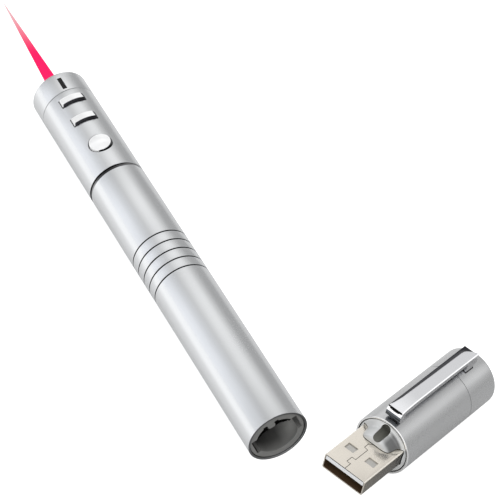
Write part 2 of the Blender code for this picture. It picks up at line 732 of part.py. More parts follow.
def make_board(parent):
    """The pointer's circuit board with its switches, chip, crystal and indicator lamp."""
    board_start = CHASSIS_SHOULDER + SEAT_GAP
    board_end = HEAD_START + BOARD_NOSE
    block(
        "circuit_board", (-BOARD_HALF, board_start, BOARD_LOW), (BOARD_HALF, board_end, BOARD_TOP),
        "board_green", parent,
    )
    make_switch("laser_switch", LASER_AT, parent)
    make_switch("page_back_switch", PAGE_BACK_AT, parent)
    make_switch("page_forward_switch", PAGE_FORWARD_AT, parent)
    foot = BOARD_TOP + SEAT_GAP
    chip_at = (LASER_AT + PAGE_BACK_AT) / 2 + SEAT_GAP
    block(
        "radio_chip",
        (-CHIP_SIDE / 2, chip_at - CHIP_SIDE / 2, foot),
        (CHIP_SIDE / 2, chip_at + CHIP_SIDE / 2, foot + CHIP_HEIGHT),
        "chip_black", parent,
    )
    crystal_at = (PAGE_BACK_AT + PAGE_FORWARD_AT) / 2
    block(
        "radio_crystal",
        (-CRYSTAL_LENGTH / 2, crystal_at - CRYSTAL_WIDTH / 2, foot),
        (CRYSTAL_LENGTH / 2, crystal_at + CRYSTAL_WIDTH / 2, foot + CRYSTAL_HEIGHT),
        "nickel", parent,
    )
    led_end = board_end - SEAT_GAP
    block(
        "indicator_led",
        (-LED_WIDTH / 2, led_end - LED_LENGTH, foot), (LED_WIDTH / 2, led_end, foot + LED_HEIGHT),
        "led_lens", parent,
    )


def make_page_button(name, place, parent):
    """A wedge-shaped key, steep at its rear, whose top follows the barrel, with a flange to keep it in."""
    centre = add_empty(f"{name}_axis", parent, (0, place, 0))
    half_width = PAGE_WIDTH / 2
    half_length = PAGE_LENGTH / 2
    key = block(
        name, (-half_width, -half_length, KEY_FOOT),
        (half_width, half_length, KEY_TOP + OVERRUN), "chrome", centre,
    )
    ridge_foot = KEY_TOP - PAGE_RIDGE
    toe = TUBE_RADIUS + PAGE_TOE_RISE
    crown = turned(
        f"{name}_crown_tool",
        [
            (-half_length - OVERRUN, 0), (-half_length - OVERRUN, ridge_foot),
            (-half_length - SEAT_GAP, ridge_foot), (-half_length + PAGE_RIDGE, KEY_TOP),
            (half_length + SEAT_GAP, toe), (half_length + OVERRUN, toe), (half_length + OVERRUN, 0),
        ],
        None, centre,
    )
    boolean(key, crown, "INTERSECT")
    flange = block(
        f"{name}_flange_tool",
        (-half_width, -half_length - FLANGE_LAP, KEY_FOOT),
        (half_width, half_length + FLANGE_LAP, FLANGE_TOP),
        None, centre,
    )
    boolean(key, flange, "UNION")


def make_laser_button(parent):
    """The round domed key that fires the laser."""
    centre = add_empty("laser_button_axis", parent, (0, LASER_AT, 0))
    rim = KEY_TOP - DOME_RISE
    outline = [(0, KEY_FOOT), (LASER_RADIUS + FLANGE_LAP, KEY_FOOT)]
    outline += [(LASER_RADIUS + FLANGE_LAP, FLANGE_TOP), (LASER_RADIUS, FLANGE_TOP), (LASER_RADIUS, rim)]
    for share in DOME_SHARES:
        outline += [(LASER_RADIUS * share, rim + DOME_RISE * (1 - share * share))]
    outline += [(0, KEY_TOP)]
    upward = add_empty("laser_button_turn", centre, (0, 0, 0), (math.pi / 2, 0, 0))
    turned("laser_button", [(z, r) for r, z in outline], "chrome", upward, INNER_SIDES)


def make_receiver_shell(parent):
    """The receiver's sleeve and its end cap, with the slot for the clip's foot."""
    turned(
        "receiver_sleeve",
        [
            (0, TUBE_BORE), (0, TUBE_RADIUS - TUBE_EDGE), (-TUBE_EDGE, TUBE_RADIUS),
            (-SLEEVE_LENGTH + TUBE_EDGE, TUBE_RADIUS), (-SLEEVE_LENGTH, TUBE_RADIUS - TUBE_EDGE),
            (-SLEEVE_LENGTH, TUBE_BORE),
        ],
        "satin_aluminium", parent,
    )
    start = -SEAM
    end = -RECEIVER_LENGTH
    outline = [(start + SPIGOT_LENGTH, SPIGOT_BORE), (start + SPIGOT_LENGTH, TUBE_FIT), (start, TUBE_FIT)]
    outline += [(start, TUBE_RADIUS - TUBE_EDGE), (start - TUBE_EDGE, TUBE_RADIUS)]
    outline += arc((end + CAP_EDGE, TUBE_RADIUS - CAP_EDGE), CAP_EDGE, 90, 180, EDGE_STEPS)
    outline += [(end, 0), (end + CAP_FACE, 0), (end + CAP_FACE, TUBE_BORE)]
    outline += [(start - TUBE_WALL, TUBE_BORE), (start - TUBE_WALL, SPIGOT_BORE)]
    cap = turned("receiver_end_cap", outline, "satin_aluminium", parent)
    slot = block(
        "clip_slot_cutter",
        (-CLIP_WIDTH / 2 - SLIDE_GAP, -PIN_BACK - FOOT_HALF - 2 * SLIDE_GAP, PIN_HEIGHT),
        (CLIP_WIDTH / 2 + SLIDE_GAP, -PIN_BACK + FOOT_HALF + 2 * SLIDE_GAP, TUBE_RADIUS + OVERRUN),
        None, parent,
    )
    boolean(cap, slot, "DIFFERENCE")


def make_nose(parent):
    """The moulded nose round the plug, with the pocket for the snap hook, and the carrier behind it."""
    front = (NOSE_LENGTH - NOSE_ROUND, NOSE_RADIUS - NOSE_ROUND)
    carrier_end = -CARRIER_LENGTH
    outline = [(NOSE_LENGTH, 0)] + arc(front, NOSE_ROUND, 0, 90, EDGE_STEPS)
    outline += [(-FIT_GAP, NOSE_RADIUS), (-FIT_GAP, TUBE_FIT), (carrier_end, TUBE_FIT), (carrier_end, 0)]
    nose = turned("receiver_nose", outline, "nose_plastic", parent)
    half_width = PLUG_WIDTH / 2 + FIT_GAP
    half_height = PLUG_HEIGHT / 2 + FIT_GAP
    slot = block(
        "plug_slot_cutter",
        (-half_width, -PLUG_ROOT - FIT_GAP, PLUG_OFFSET - half_height),
        (half_width, NOSE_LENGTH + OVERRUN, PLUG_OFFSET + half_height),
        None, parent,
    )
    boolean(nose, slot, "DIFFERENCE")
    half = POCKET_WIDTH / 2
    stadium = arc((0, POCKET_LENGTH - POCKET_BACK - half), half, 0, 180, POCKET_STEPS)
    stadium += arc((0, half - POCKET_BACK), half, 180, 360, POCKET_STEPS)
    pocket = prism(
        "hook_pocket_cutter", stadium, HOOK_RADIUS - SLIDE_GAP, TUBE_RADIUS + OVERRUN,
        None, parent, axis="Z",
    )
    boolean(nose, pocket, "DIFFERENCE")
    tray_top = block(
        "carrier_top_cutter",
        (-TUBE_RADIUS, carrier_end - OVERRUN, -CARRIER_DROP),
        (TUBE_RADIUS, -NOSE_FLANGE, TUBE_RADIUS + OVERRUN),
        None, parent,
    )
    boolean(nose, tray_top, "DIFFERENCE")
    tray_half = RX_BOARD_HALF - CARRIER_WALL / 2
    tray = block(
        "carrier_tray_cutter",
        (-tray_half, carrier_end + CARRIER_WALL, -CARRIER_FLOOR),
        (tray_half, -NOSE_FLANGE - CARRIER_WALL, TUBE_RADIUS),
        None, parent,
    )
    boolean(nose, tray, "DIFFERENCE")


def make_plug(parent):
    """The plug: a folded steel shell with latch holes, its tongue and four terminals."""
    shell = prism(
        "plug_shell", rounded_box(PLUG_WIDTH, PLUG_HEIGHT, PLUG_CORNER, PLUG_OFFSET),
        -PLUG_ROOT, PLUG_REACH, "plug_steel", parent,
    )
    inner_width = PLUG_WIDTH - 2 * PLUG_WALL
    inner_height = PLUG_HEIGHT - 2 * PLUG_WALL
    hollow = prism(
        "plug_hollow_cutter",
        rounded_box(inner_width, inner_height, PLUG_CORNER - PLUG_WALL / 2, PLUG_OFFSET),
        -PLUG_ROOT - OVERRUN, PLUG_REACH + OVERRUN, None, parent,
    )
    boolean(shell, hollow, "DIFFERENCE")
    hole_at = PLUG_REACH - LATCH_HOLE_INSET
    for side, name in ((-1, "left"), (1, "right")):
        middle = side * LATCH_HOLE_SPREAD
        hole = block(
            f"latch_hole_{name}_cutter",
            (middle - LATCH_HOLE_WIDTH / 2, hole_at - LATCH_HOLE_LENGTH / 2, PLUG_OFFSET - PLUG_HEIGHT),
            (middle + LATCH_HOLE_WIDTH / 2, hole_at + LATCH_HOLE_LENGTH / 2, PLUG_OFFSET + PLUG_HEIGHT),
            None, parent,
        )
        boolean(shell, hole, "DIFFERENCE")
    tongue_top = PLUG_OFFSET + inner_height / 2 - SEAT_GAP
    tongue_low = tongue_top - TONGUE_THICKNESS
    tongue_half = inner_width / 2 - SEAT_GAP
    block(
        "plug_tongue",
        (-tongue_half, -PLUG_ROOT, tongue_low), (tongue_half, PLUG_REACH - TONGUE_INSET, tongue_top),
        "black_plastic", parent,
    )
    terminal_end = PLUG_REACH - TONGUE_INSET - TERMINAL_INSET
    for number, middle in enumerate(TERMINAL_SPREADS, 1):
        block(
            f"plug_terminal_{number}",
            (middle - TERMINAL_WIDTH / 2, terminal_end - TERMINAL_LENGTH,
             tongue_low - SEAT_GAP - TERMINAL_THICKNESS),
            (middle + TERMINAL_WIDTH / 2, terminal_end, tongue_low - SEAT_GAP),
            "gold", parent,
        )


def make_receiver_board(parent):
    """The radio board behind the plug, with its chip and crystal."""
    low = -CARRIER_DROP + SEAT_GAP
    top = low + BOARD_THICKNESS
    start = -NOSE_FLANGE - FIT_GAP
    end = -CARRIER_LENGTH + CARRIER_WALL / 2
    block(
        "receiver_board", (-RX_BOARD_HALF, end, low), (RX_BOARD_HALF, start, top), "board_green", parent,
    )
    foot = top + SEAT_GAP
    chip_at = start - RX_CHIP_BACK
    block(
        "receiver_chip",
        (-CHIP_SIDE / 2, chip_at - CHIP_SIDE / 2, foot),
        (CHIP_SIDE / 2, chip_at + CHIP_SIDE / 2, foot + CHIP_HEIGHT),
        "chip_black", parent,
    )
    crystal_at = start - RX_CRYSTAL_BACK
    block(
        "receiver_crystal",
        (-CRYSTAL_LENGTH / 2, crystal_at - CRYSTAL_WIDTH / 2, foot),
        (CRYSTAL_LENGTH / 2, crystal_at + CRYSTAL_WIDTH / 2, foot + CRYSTAL_HEIGHT),
        "nickel", parent,
    )


def clip_outline():
    """The clip from the side, as (Y, Z) points about its pivot pin."""
    top = CLIP_TOP - PIN_HEIGHT
    under = top - CLIP_THICKNESS
    tip = PIN_BACK - CLIP_TIP_INSET
    bead_end = tip - BEAD_LENGTH
    bead_radius = BEAD_LENGTH / 2
    bead = TUBE_RADIUS + BEAD_GAP - PIN_HEIGHT + bead_radius
    tail = -FOOT_HALF - CLIP_TAIL
    tail_low = TUBE_RADIUS + TAIL_GAP - PIN_HEIGHT
    outline = arc((tip - CLIP_ROUND, top - CLIP_ROUND), CLIP_ROUND, 90, 0, EDGE_STEPS)
    outline += arc((tip - bead_radius, bead), bead_radius, 0, -180, EDGE_STEPS * 2)
    outline += [(bead_end, under - CLIP_ROUND / 2), (bead_end - CLIP_ROUND, under), (FOOT_HALF, under)]
    outline += arc((0, 0), FOOT_HALF, 0, -180, EDGE_STEPS * 2)
    outline += [(-FOOT_HALF, tail_low), (tail, tail_low)]
    outline += arc((tail + CLIP_ROUND, top - CLIP_ROUND), CLIP_ROUND, 180, 90, EDGE_STEPS)
    return outline


def make_clip(parent):
    """The pocket clip on its pin, with the bracket and leaf spring inside the end cap."""
    pivot = add_empty("clip_pivot", parent, (0, -PIN_BACK, PIN_HEIGHT))
    half = CLIP_WIDTH / 2
    clip = prism("clip", clip_outline(), -half, half, "chrome", pivot, axis="X")
    bevelled(clip, CLIP_BEVEL)
    eye_line = arc((0, 0), PIN_RADIUS + SEAT_GAP, 0, 360, SMALL_SIDES)[:-1]
    clip_eye = prism("clip_eye_cutter", eye_line, -half - OVERRUN, half + OVERRUN, None, pivot, axis="X")
    boolean(clip, clip_eye, "DIFFERENCE")
    ear_inner = half + SLIDE_GAP
    ear_outer = ear_inner + EAR_THICKNESS
    reach = FOOT_HALF + BRACKET_REACH
    pin_line = arc((-PIN_BACK, PIN_HEIGHT), PIN_RADIUS, 0, 360, SMALL_SIDES)[:-1]
    prism("clip_pin", pin_line, -ear_outer, ear_outer, "nickel", parent, axis="X")
    bracket = block(
        "clip_bracket",
        (-ear_outer, -PIN_BACK - reach, BRACKET_FLOOR - BRACKET_BASE),
        (ear_outer, -PIN_BACK + reach, PIN_HEIGHT + EAR_RISE),
        "nickel", parent,
    )
    gap = block(
        "bracket_gap_cutter",
        (-ear_inner, -PIN_BACK - reach - OVERRUN, BRACKET_FLOOR),
        (ear_inner, -PIN_BACK + reach + OVERRUN, TUBE_RADIUS + OVERRUN),
        None, parent,
    )
    boolean(bracket, gap, "DIFFERENCE")
    bracket_eye = prism(
        "bracket_eye_cutter", eye_line, -ear_outer - OVERRUN, ear_outer + OVERRUN, None, pivot, axis="X",
    )
    boolean(bracket, bracket_eye, "DIFFERENCE")
    leaf_half = half - LEAF_INSET
    block(
        "clip_leaf_spring",
        (-leaf_half, -PIN_BACK - reach, LEAF_TOP - LEAF_THICKNESS),
        (leaf_half, -PIN_BACK + reach, LEAF_TOP),
        "nickel", parent,
    )


def make_pointer(table):
    """The pointer: the rear barrel, then the front section that unscrews from it."""
    rear = add_empty("pointer_axis", table, (0, 0, AXIS_HEIGHT))
    make_rear_barrel(rear)
    make_dock_liner(add_empty("dock_axis", rear, (0, 0, 0), (0, DOCK_ROLL, 0)))
    make_battery_bay(rear)
    make_joint_collar(rear)
    make_trim_ring(rear)
    front = add_empty("front_axis", rear, (0, 0, 0), (0, FRONT_ROLL, 0))
    make_front_barrel(front)
    make_head(front)
    make_laser_module(front)
    make_chassis(front)
    make_board(front)
    make_page_button("page_forward_button", PAGE_FORWARD_AT, front)
    make_page_button("page_back_button", PAGE_BACK_AT, front)
    make_laser_button(front)


def make_receiver(table):
    """The receiver, plug first along its own Y axis."""
    axis = add_empty(
        "receiver_axis", table, (RECEIVER_X, RECEIVER_Y, AXIS_HEIGHT),
        (0, 0, RECEIVER_HEADING - math.pi / 2),
    )
    make_receiver_shell(axis)
    make_nose(axis)
    make_plug(axis)
    make_receiver_board(axis)
    make_clip(axis)


def centre_on_origin(table):
    """Slide everything so that the origin is under the middle of the whole object."""
    bpy.context.view_layer.update()
    graph = bpy.context.evaluated_depsgraph_get()
    points = []
    for obj in bpy.context.scene.objects:
        if obj.type == "MESH" and not obj.hide_render:
            shown = obj.evaluated_get(graph)
            points += [shown.matrix_world @ v.co for v in shown.data.vertices]
    low = Vector(min(p[i] for p in points) for i in range(3))
    high = Vector(max(p[i] for p in points) for i in range(3))
    middle = (low + high) / 2
    table.location = (-middle.x, -middle.y, 0)
    bpy.context.view_layer.update()


def main():
    clear_scene()
    table = add_empty("table")
    make_pointer(table)
    make_receiver(table)
    centre_on_origin(table)


main()
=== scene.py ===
import json
import math
from types import SimpleNamespace

import bmesh
import bpy
import numpy as np
from mathutils import Euler, Matrix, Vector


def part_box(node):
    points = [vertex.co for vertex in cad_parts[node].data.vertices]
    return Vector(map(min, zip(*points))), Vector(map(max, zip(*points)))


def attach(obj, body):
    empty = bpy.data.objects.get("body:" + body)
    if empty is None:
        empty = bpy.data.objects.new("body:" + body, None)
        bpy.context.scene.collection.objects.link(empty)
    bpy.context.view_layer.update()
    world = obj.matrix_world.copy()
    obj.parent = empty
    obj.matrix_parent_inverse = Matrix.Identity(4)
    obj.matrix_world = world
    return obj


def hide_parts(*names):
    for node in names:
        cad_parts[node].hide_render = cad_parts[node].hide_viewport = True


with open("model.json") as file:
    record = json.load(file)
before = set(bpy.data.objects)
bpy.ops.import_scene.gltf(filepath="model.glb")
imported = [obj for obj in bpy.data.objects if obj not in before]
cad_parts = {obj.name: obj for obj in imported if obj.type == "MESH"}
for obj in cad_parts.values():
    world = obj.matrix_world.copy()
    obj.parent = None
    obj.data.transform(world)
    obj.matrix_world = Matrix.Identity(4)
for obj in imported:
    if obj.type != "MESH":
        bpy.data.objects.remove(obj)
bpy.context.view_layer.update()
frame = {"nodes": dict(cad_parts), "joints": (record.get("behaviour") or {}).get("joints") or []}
print("frame loaded:", len(frame["nodes"]), "nodes")

mm = 0.001


# Where each group of pieces lies: its own origin in mm, and its X, Y and Z axes as columns.
# Y runs along the tube towards the laser or the plug, and Z towards the keys or the clip.
def framed(origin, yAxis, zAxis):
    yAxis, zAxis = np.array(yAxis, float), np.array(zAxis, float)
    return np.array(origin, float), np.column_stack([np.cross(yAxis, zAxis), yAxis, zAxis])


def jointAxis(name):
    return next(np.array(joint["axis"], float) for joint in frame["joints"] if joint["name"] == name)
rearLow, rearHigh = (np.array(corner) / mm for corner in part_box("rear_barrel"))
sleeveLow, sleeveHigh = (np.array(corner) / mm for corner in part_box("receiver_sleeve"))

tube = {
    "radius": (rearHigh[0] - rearLow[0]) / 2,
    "bore": 7.2,
    "fit": 7.05,
    "spigotBore": 6.55,
    "shoulder": 0.55,
    "edge": 0.14,
    "seamEdge": 0.09,
    "facets": 192,
    "innerFacets": 128,
    "dockRoll": -30.0,
    "sleeveLength": 25.7,
}
# How far the common edges are softened: a crease between two cuts, a fine edge and an eased one.
creaseEdge = 0.03
fineEdge = 0.05
easedEdge = 0.1
# How far a cutter reaches past what it cuts, and how near a face must be to a size to be counted as on it.
cutOver = 0.01
nearBy = 0.02

tail = np.array([(rearLow[0] + rearHigh[0]) / 2, rearLow[1], (rearLow[2] + rearHigh[2]) / 2])
dockTilt = math.radians(tube["dockRoll"])
receiverHeading = jointAxis("receiver_slide")
noseRoot = (sleeveLow + sleeveHigh) / 2 + receiverHeading * tube["sleeveLength"] / 2

rearFrame = framed(tail, (0, 1, 0), (0, 0, 1))
dockFrame = framed(tail, (0, 1, 0), (math.sin(dockTilt), 0, math.cos(dockTilt)))
frontFrame = framed(tail, (0, 1, 0), -jointAxis("laser_press"))
receiverFrame = framed(noseRoot, receiverHeading, (0, 0, 1))


# Shapes

def softened(corners, closed=True, steps=5):
    # Each corner (a, b, setback) becomes a parabola from one side to the other: it leaves each side at the
    # setback from the corner, so P(s) = (1-s)^2 start + 2s(1-s) corner + s^2 end.
    table = np.array(corners, float)
    spots, setbacks = table[:, :2], table[:, 2:3]
    before, after = np.roll(spots, 1, 0) - spots, np.roll(spots, -1, 0) - spots
    if not closed:
        before[0], after[-1] = after[0], before[-1]
        setbacks[[0, -1]] = 0
    lengthBefore = np.linalg.norm(before, axis=1, keepdims=True)
    lengthAfter = np.linalg.norm(after, axis=1, keepdims=True)
    start = spots + before / lengthBefore * np.minimum(setbacks, lengthBefore * 0.49)
    end = spots + after / lengthAfter * np.minimum(setbacks, lengthAfter * 0.49)
    s = np.linspace(0, 1, steps + 1)[None, :, None]
    path = (1 - s) ** 2 * start[:, None] + 2 * s * (1 - s) * spots[:, None] + s ** 2 * end[:, None]
    path = path.reshape(-1, 2)
    apart = np.linalg.norm(path - np.roll(path, 1, 0), axis=1) > 1e-6
    if not closed:
        apart[0] = True
    return path[apart]


def roundedBox(halfX, halfY, corner, steps=6, centre=(0, 0), between=0):
    # A rectangle whose corners are quarter circles: the centre of each arc plus radius times (cos, sin).
    # The sides along X get that many points between their ends.
    angles = np.linspace(0, math.pi / 2, steps + 1)[None, :] + np.arange(4)[:, None] * math.pi / 2
    signX, signY = np.array([1, -1, -1, 1])[:, None], np.array([1, 1, -1, -1])[:, None]
    x = centre[0] + signX * (halfX - corner) + corner * np.cos(angles)
    y = centre[1] + signY * (halfY - corner) + corner * np.sin(angles)
    corners = np.stack([x, y], axis=2)
    share = np.linspace(0, 1, between + 2)[1:-1, None]
    parts = []
    for number in range(4):
        parts.append(corners[number])
        if number % 2 == 0:
            parts.append(corners[number][-1] * (1 - share) + corners[number + 1][0] * share)
    return np.concatenate(parts)


def circle(radius, count, centre=(0, 0)):
    angles = np.arange(count) * 2 * math.pi / count
    return np.column_stack([centre[0] + radius * np.cos(angles), centre[1] + radius * np.sin(angles)])


def revolved(profile, facets, lengthwise=True):
    # The profile (along, radius) turned round the axis: ring i is at (r sin t, along, r cos t) for Y,
    # and at (r cos t, r sin t, along) for an upright axis.
    t = np.arange(facets) * 2 * math.pi / facets
    along, radius = profile[:, :1], profile[:, 1:2]
    across, up = radius * np.sin(t), radius * np.cos(t)
    level = np.broadcast_to(along, across.shape)
    return np.stack([across, level, up] if lengthwise else [up, across, level], axis=2)


def skin(rings, closed):
    # Rings of points joined by quads, ring i to ring i+1 and point j to point j+1. A closed skin joins its
    # last ring to its first, and an open one gets a flat face on its first and last ring.
    count, around = rings.shape[:2]
    index = np.arange(count * around).reshape(count, around)
    here = index if closed else index[:-1]
    onward = np.roll(index, -1, 0) if closed else index[1:]
    quads = np.stack([here, np.roll(here, -1, 1), np.roll(onward, -1, 1), onward], axis=2).reshape(-1, 4)
    faces = quads.tolist()
    if not closed:
        faces += [index[0][::-1].tolist(), index[-1].tolist()]
    return rings.reshape(-1, 3), faces


def raised(outlines, levels):
    # Outlines (x, y) stacked at levels z, as the rings of an upright piece.
    return np.stack([
        np.column_stack([outline, np.broadcast_to(level, len(outline))])
        for outline, level in zip(outlines, levels)
    ])


def drawn(outline, start, end, axis="Y"):
    # A flat outline carried straight from start to end: (X, Z) along Y, (Y, Z) along X, (X, Y) along Z.
    order = {"Y": [0, 2, 1], "X": [2, 0, 1], "Z": [0, 1, 2]}[axis]
    rings = np.stack([np.column_stack([outline, np.full(len(outline), place)]) for place in (start, end)])
    return rings[:, :, order]


places = {}


def tidyMesh(mesh, smoothAngle):
    # Welds points that coincide, turns all faces outward and shades smooth up to the given angle.
    weld = 0.0005 * mm
    bm = bmesh.new()
    bm.from_mesh(mesh)
    bmesh.ops.remove_doubles(bm, verts=bm.verts, dist=weld)
    bmesh.ops.dissolve_degenerate(bm, edges=bm.edges, dist=weld)
    bmesh.ops.recalc_face_normals(bm, faces=bm.faces)
    bm.to_mesh(mesh)
    bm.free()
    mesh.shade_smooth()
    mesh.set_sharp_from_angle(angle=math.radians(smoothAngle))


def solid(name, rings, place, closed=False, smoothAngle=32):
    # A piece with that skin, drawn in the given frame, which is kept under the piece's name.
    places[name] = place
    points, faces = skin(rings, closed)
    origin, axes = place
    mesh = bpy.data.meshes.new(name)
    mesh.from_pydata(((points @ axes.T + origin) * mm).tolist(), [], faces)
    tidyMesh(mesh, smoothAngle)
    piece = bpy.data.objects.new(name, mesh)
    bpy.context.scene.collection.objects.link(piece)
    return piece


def turned(name, rows, place, closed=True, facets=tube["facets"], steps=5):
    # A piece turned on a lathe: rows (along, radius, setback), softened and revolved round its own Y axis.
    return solid(name, revolved(softened(rows, closed, steps), facets), place, closed)


def carved(piece, tools, operation="DIFFERENCE", smoothAngle=32):
    # Cuts the tools from the piece, or joins them to it, and keeps the result as its mesh.
    for tool in tools:
        modifier = piece.modifiers.new(tool.name, "BOOLEAN")
        modifier.operation = operation
        modifier.solver = "EXACT"
        modifier.object = tool
    graph = bpy.context.evaluated_depsgraph_get()
    mesh = bpy.data.meshes.new_from_object(piece.evaluated_get(graph))
    piece.modifiers.clear()
    plain, piece.data = piece.data, mesh
    bpy.data.meshes.remove(plain)
    for tool in tools:
        bpy.data.meshes.remove(tool.data)
    tidyMesh(mesh, smoothAngle)


def finished(piece, body, slotName, node, *finishNames):
    # Gives a piece its finishes and its body, and hides the CAD node that it stands for.
    for finishName in finishNames:
        piece.data.materials.append(materials[finishName])
    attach(piece, body)
    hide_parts(node)


def inFrame(values, origin, axes):
    # Flat x, y, z values as named columns in a piece's own frame, with the distance from its Y axis as out.
    x, y, z = ((values.reshape(-1, 3) - origin) @ axes).T
    return SimpleNamespace(x=x, y=y, z=z, out=np.hypot(x, z))


def paintFaces(piece, test, slotIndex=1):
    # Puts the finish of that index on the faces whose centre and normal pass the test, both given in the
    # piece's own frame.
    origin, axes = places[piece.name]
    mesh = piece.data
    centres, normals = np.empty(len(mesh.polygons) * 3), np.empty(len(mesh.polygons) * 3)
    mesh.polygons.foreach_get("center", centres)
    mesh.polygons.foreach_get("normal", normals)
    index = np.zeros(len(mesh.polygons), np.int32)
    mesh.polygons.foreach_get("material_index", index)
    index[test(inFrame(centres / mm, origin, axes), inFrame(normals, 0, axes))] = slotIndex
    mesh.polygons.foreach_set("material_index", index)
    mesh.update()


def toned(piece, tone):
    # Gives each point of a piece its tone, its painted light and shade, which a toned finish multiplies
    # into its colour.
    points = np.empty(len(piece.data.vertices) * 3)
    piece.data.vertices.foreach_get("co", points)
    tones = tone(inFrame(points / mm, *places[piece.name]))
    piece.data.attributes.new("tone", "FLOAT", "POINT").data.foreach_set("value", tones)


def lineAt(value, table):
    # The height of a table's line (place, height), straight between its points, at each value.
    return np.interp(value, *np.array(table).T)


def windowTool(name, place, outlineAt, low, chamfer, high=12.0):
    # A cutter that opens a window in a tube. Its wall is upright up to a chamfer's depth under the tube's
    # surface z = sqrt(radius^2 - x^2), and then spreads by the chamfer's width.
    inner, outer = outlineAt(0), outlineAt(chamfer)
    innerTop = np.sqrt(tube["radius"] ** 2 - inner[:, 0] ** 2) - chamfer
    outerTop = np.sqrt(tube["radius"] ** 2 - outer[:, 0] ** 2) + cutOver
    return solid(name, raised([inner, inner, outer, outer], [low, innerTop, outerTop, high]), place)


def boxWindow(name, place, half, corner, middle, low, chamfer, between=0):
    # The cutter of a window with straight sides and round corners, its middle that far along the tube.
    return windowTool(name, place, lambda grow: roundedBox(
        half[0] + grow, half[1] + grow, corner + grow, centre=(0, middle), between=between,
    ), low, chamfer)


# Finishes

def nodeAdder(tree):
    def add(kind, links=None, **values):
        # Adds a node, sets its properties and links or fills its inputs by name or number.
        node = tree.nodes.new(kind)
        for key, value in values.items():
            setattr(node, key, value)
        for socket, source in (links or {}).items():
            if isinstance(source, bpy.types.NodeSocket):
                tree.links.new(source, node.inputs[socket])
            else:
                node.inputs[socket].default_value = source
        return node
    return add


def newGroup(name, inputs, outputs):
    tree = bpy.data.node_groups.new(name, "ShaderNodeTree")
    for label, kind, value in inputs:
        socket = tree.interface.new_socket(label, in_out="INPUT", socket_type=kind)
        if value is not None:
            socket.default_value = value
    for label, kind in outputs:
        tree.interface.new_socket(label, in_out="OUTPUT", socket_type=kind)
    add = nodeAdder(tree)
    return tree, add, add("NodeGroupInput").outputs, add("NodeGroupOutput")


def mathNode(add, operation, *values):
    # One step of arithmetic on numbers, and its result.
    return add("ShaderNodeMath", dict(enumerate(values)), operation=operation).outputs[0]


def rangeNode(add, value, start, end, low=0.0, high=1.0, kind="LINEAR"):
    # The value's way from start to end as a number from low to high.
    return add("ShaderNodeMapRange", {"Value": value, "From Min": start, "From Max": end,
                                      "To Min": low, "To Max": high}, interpolation_type=kind).outputs[0]


def blastedGrain():
    # Fine pits of a bead-blasted or moulded face, in two sizes, with broad soft handling marks.
    tree, add, given, result = newGroup(
        "blastedGrain",
        [("Place", "NodeSocketVector", None), ("Grain", "NodeSocketFloat", 5000.0),
         ("Marks", "NodeSocketFloat", 90.0)],
        [("Pits", "NodeSocketFloat"), ("Handling", "NodeSocketFloat")],
    )
    fine = add("ShaderNodeTexNoise", {"Vector": given["Place"], "Scale": given["Grain"], "Detail": 2.0})
    coarseScale = mathNode(add, "MULTIPLY", given["Grain"], 0.31)
    coarse = add("ShaderNodeTexNoise", {"Vector": given["Place"], "Scale": coarseScale})
    pits = mathNode(add, "ADD", fine.outputs["Fac"], coarse.outputs["Fac"])
    broad = add("ShaderNodeTexNoise", {"Vector": given["Place"], "Scale": given["Marks"], "Detail": 3.0})
    tree.links.new(mathNode(add, "MULTIPLY", pits, 0.5), result.inputs["Pits"])
    tree.links.new(rangeNode(add, broad.outputs["Fac"], 0.35, 0.7), result.inputs["Handling"])
    return tree


def drawnLines():
    # Fine scratches along one direction: noise squeezed across it, so it stretches into streaks.
    tree, add, given, result = newGroup(
        "drawnLines",
        [("Place", "NodeSocketVector", None), ("Turn", "NodeSocketVector", None),
         ("Squeeze", "NodeSocketVector", (1.0, 1.0, 1.0))],
        [("Lines", "NodeSocketFloat")],
    )
    turned = add("ShaderNodeVectorRotate", {"Vector": given["Place"], "Rotation": given["Turn"]},
                 rotation_type="EULER_XYZ")
    squeezed = add("ShaderNodeVectorMath", {0: turned.outputs[0], 1: given["Squeeze"]}, operation="MULTIPLY")
    streaks = add("ShaderNodeTexNoise", {"Vector": squeezed.outputs[0], "Scale": 1.0, "Detail": 3.0})
    tree.links.new(streaks.outputs["Fac"], result.inputs["Lines"])
    return tree


grainGroup = blastedGrain()
linesGroup = drawnLines()
materials = {}


def newMaterial(name):
    material = bpy.data.materials.new(name)
    material.use_nodes = True
    tree = material.node_tree
    tree.nodes.clear()
    add = nodeAdder(tree)
    shader = add("ShaderNodeBsdfPrincipled")
    output = add("ShaderNodeOutputMaterial", {"Surface": shader.outputs[0]})
    materials[name] = material
    return tree, add, shader, output


# The scales of a surface's grain and of its broad marks, per metre, how much the marks add to its roughness,
# and the depth of its grain in mm.
surfaces = {
    "blasted": (6500.0, 60.0, 0.03, 0.0013),
    "sawn": (9000.0, 200.0, 0.05, 0.004),
    "plated": (4000.0, 150.0, 0.04, 0.0006),
    "wornPlated": (4000.0, 150.0, 0.05, 0.0006),
    "rolled": (3000.0, 220.0, 0.05, 0.001),
    "rubbed": (5000.0, 220.0, 0.05, 0.001),
    "nickelled": (3000.0, 200.0, 0.06, 0.001),
    "cast": (2600.0, 180.0, 0.08, 0.002),
    "gilt": (4000.0, 300.0, 0.05, 0.001),
    "moulded": (3500.0, 260.0, 0.06, 0.003),
    "roughMoulded": (3500.0, 260.0, 0.06, 0.004),
    "pressed": (3500.0, 260.0, 0.06, 0.002),
    "fineMoulded": (4200.0, 180.0, 0.05, 0.003),
    "gloss": (3000.0, 260.0, 0.05, 0.0008),
    "matt": (3000.0, 260.0, 0.05, 0.002),
    "chassis": (3000.0, 200.0, 0.06, 0.003),
    "laminate": (1400.0, 700.0, 0.08, 0.006),
    "chip": (6000.0, 500.0, 0.05, 0.004),
    "wrapped": (2200.0, 120.0, 0.06, 0.002),
    "tinted": (3000.0, 300.0, 0.05, 0.001),
}


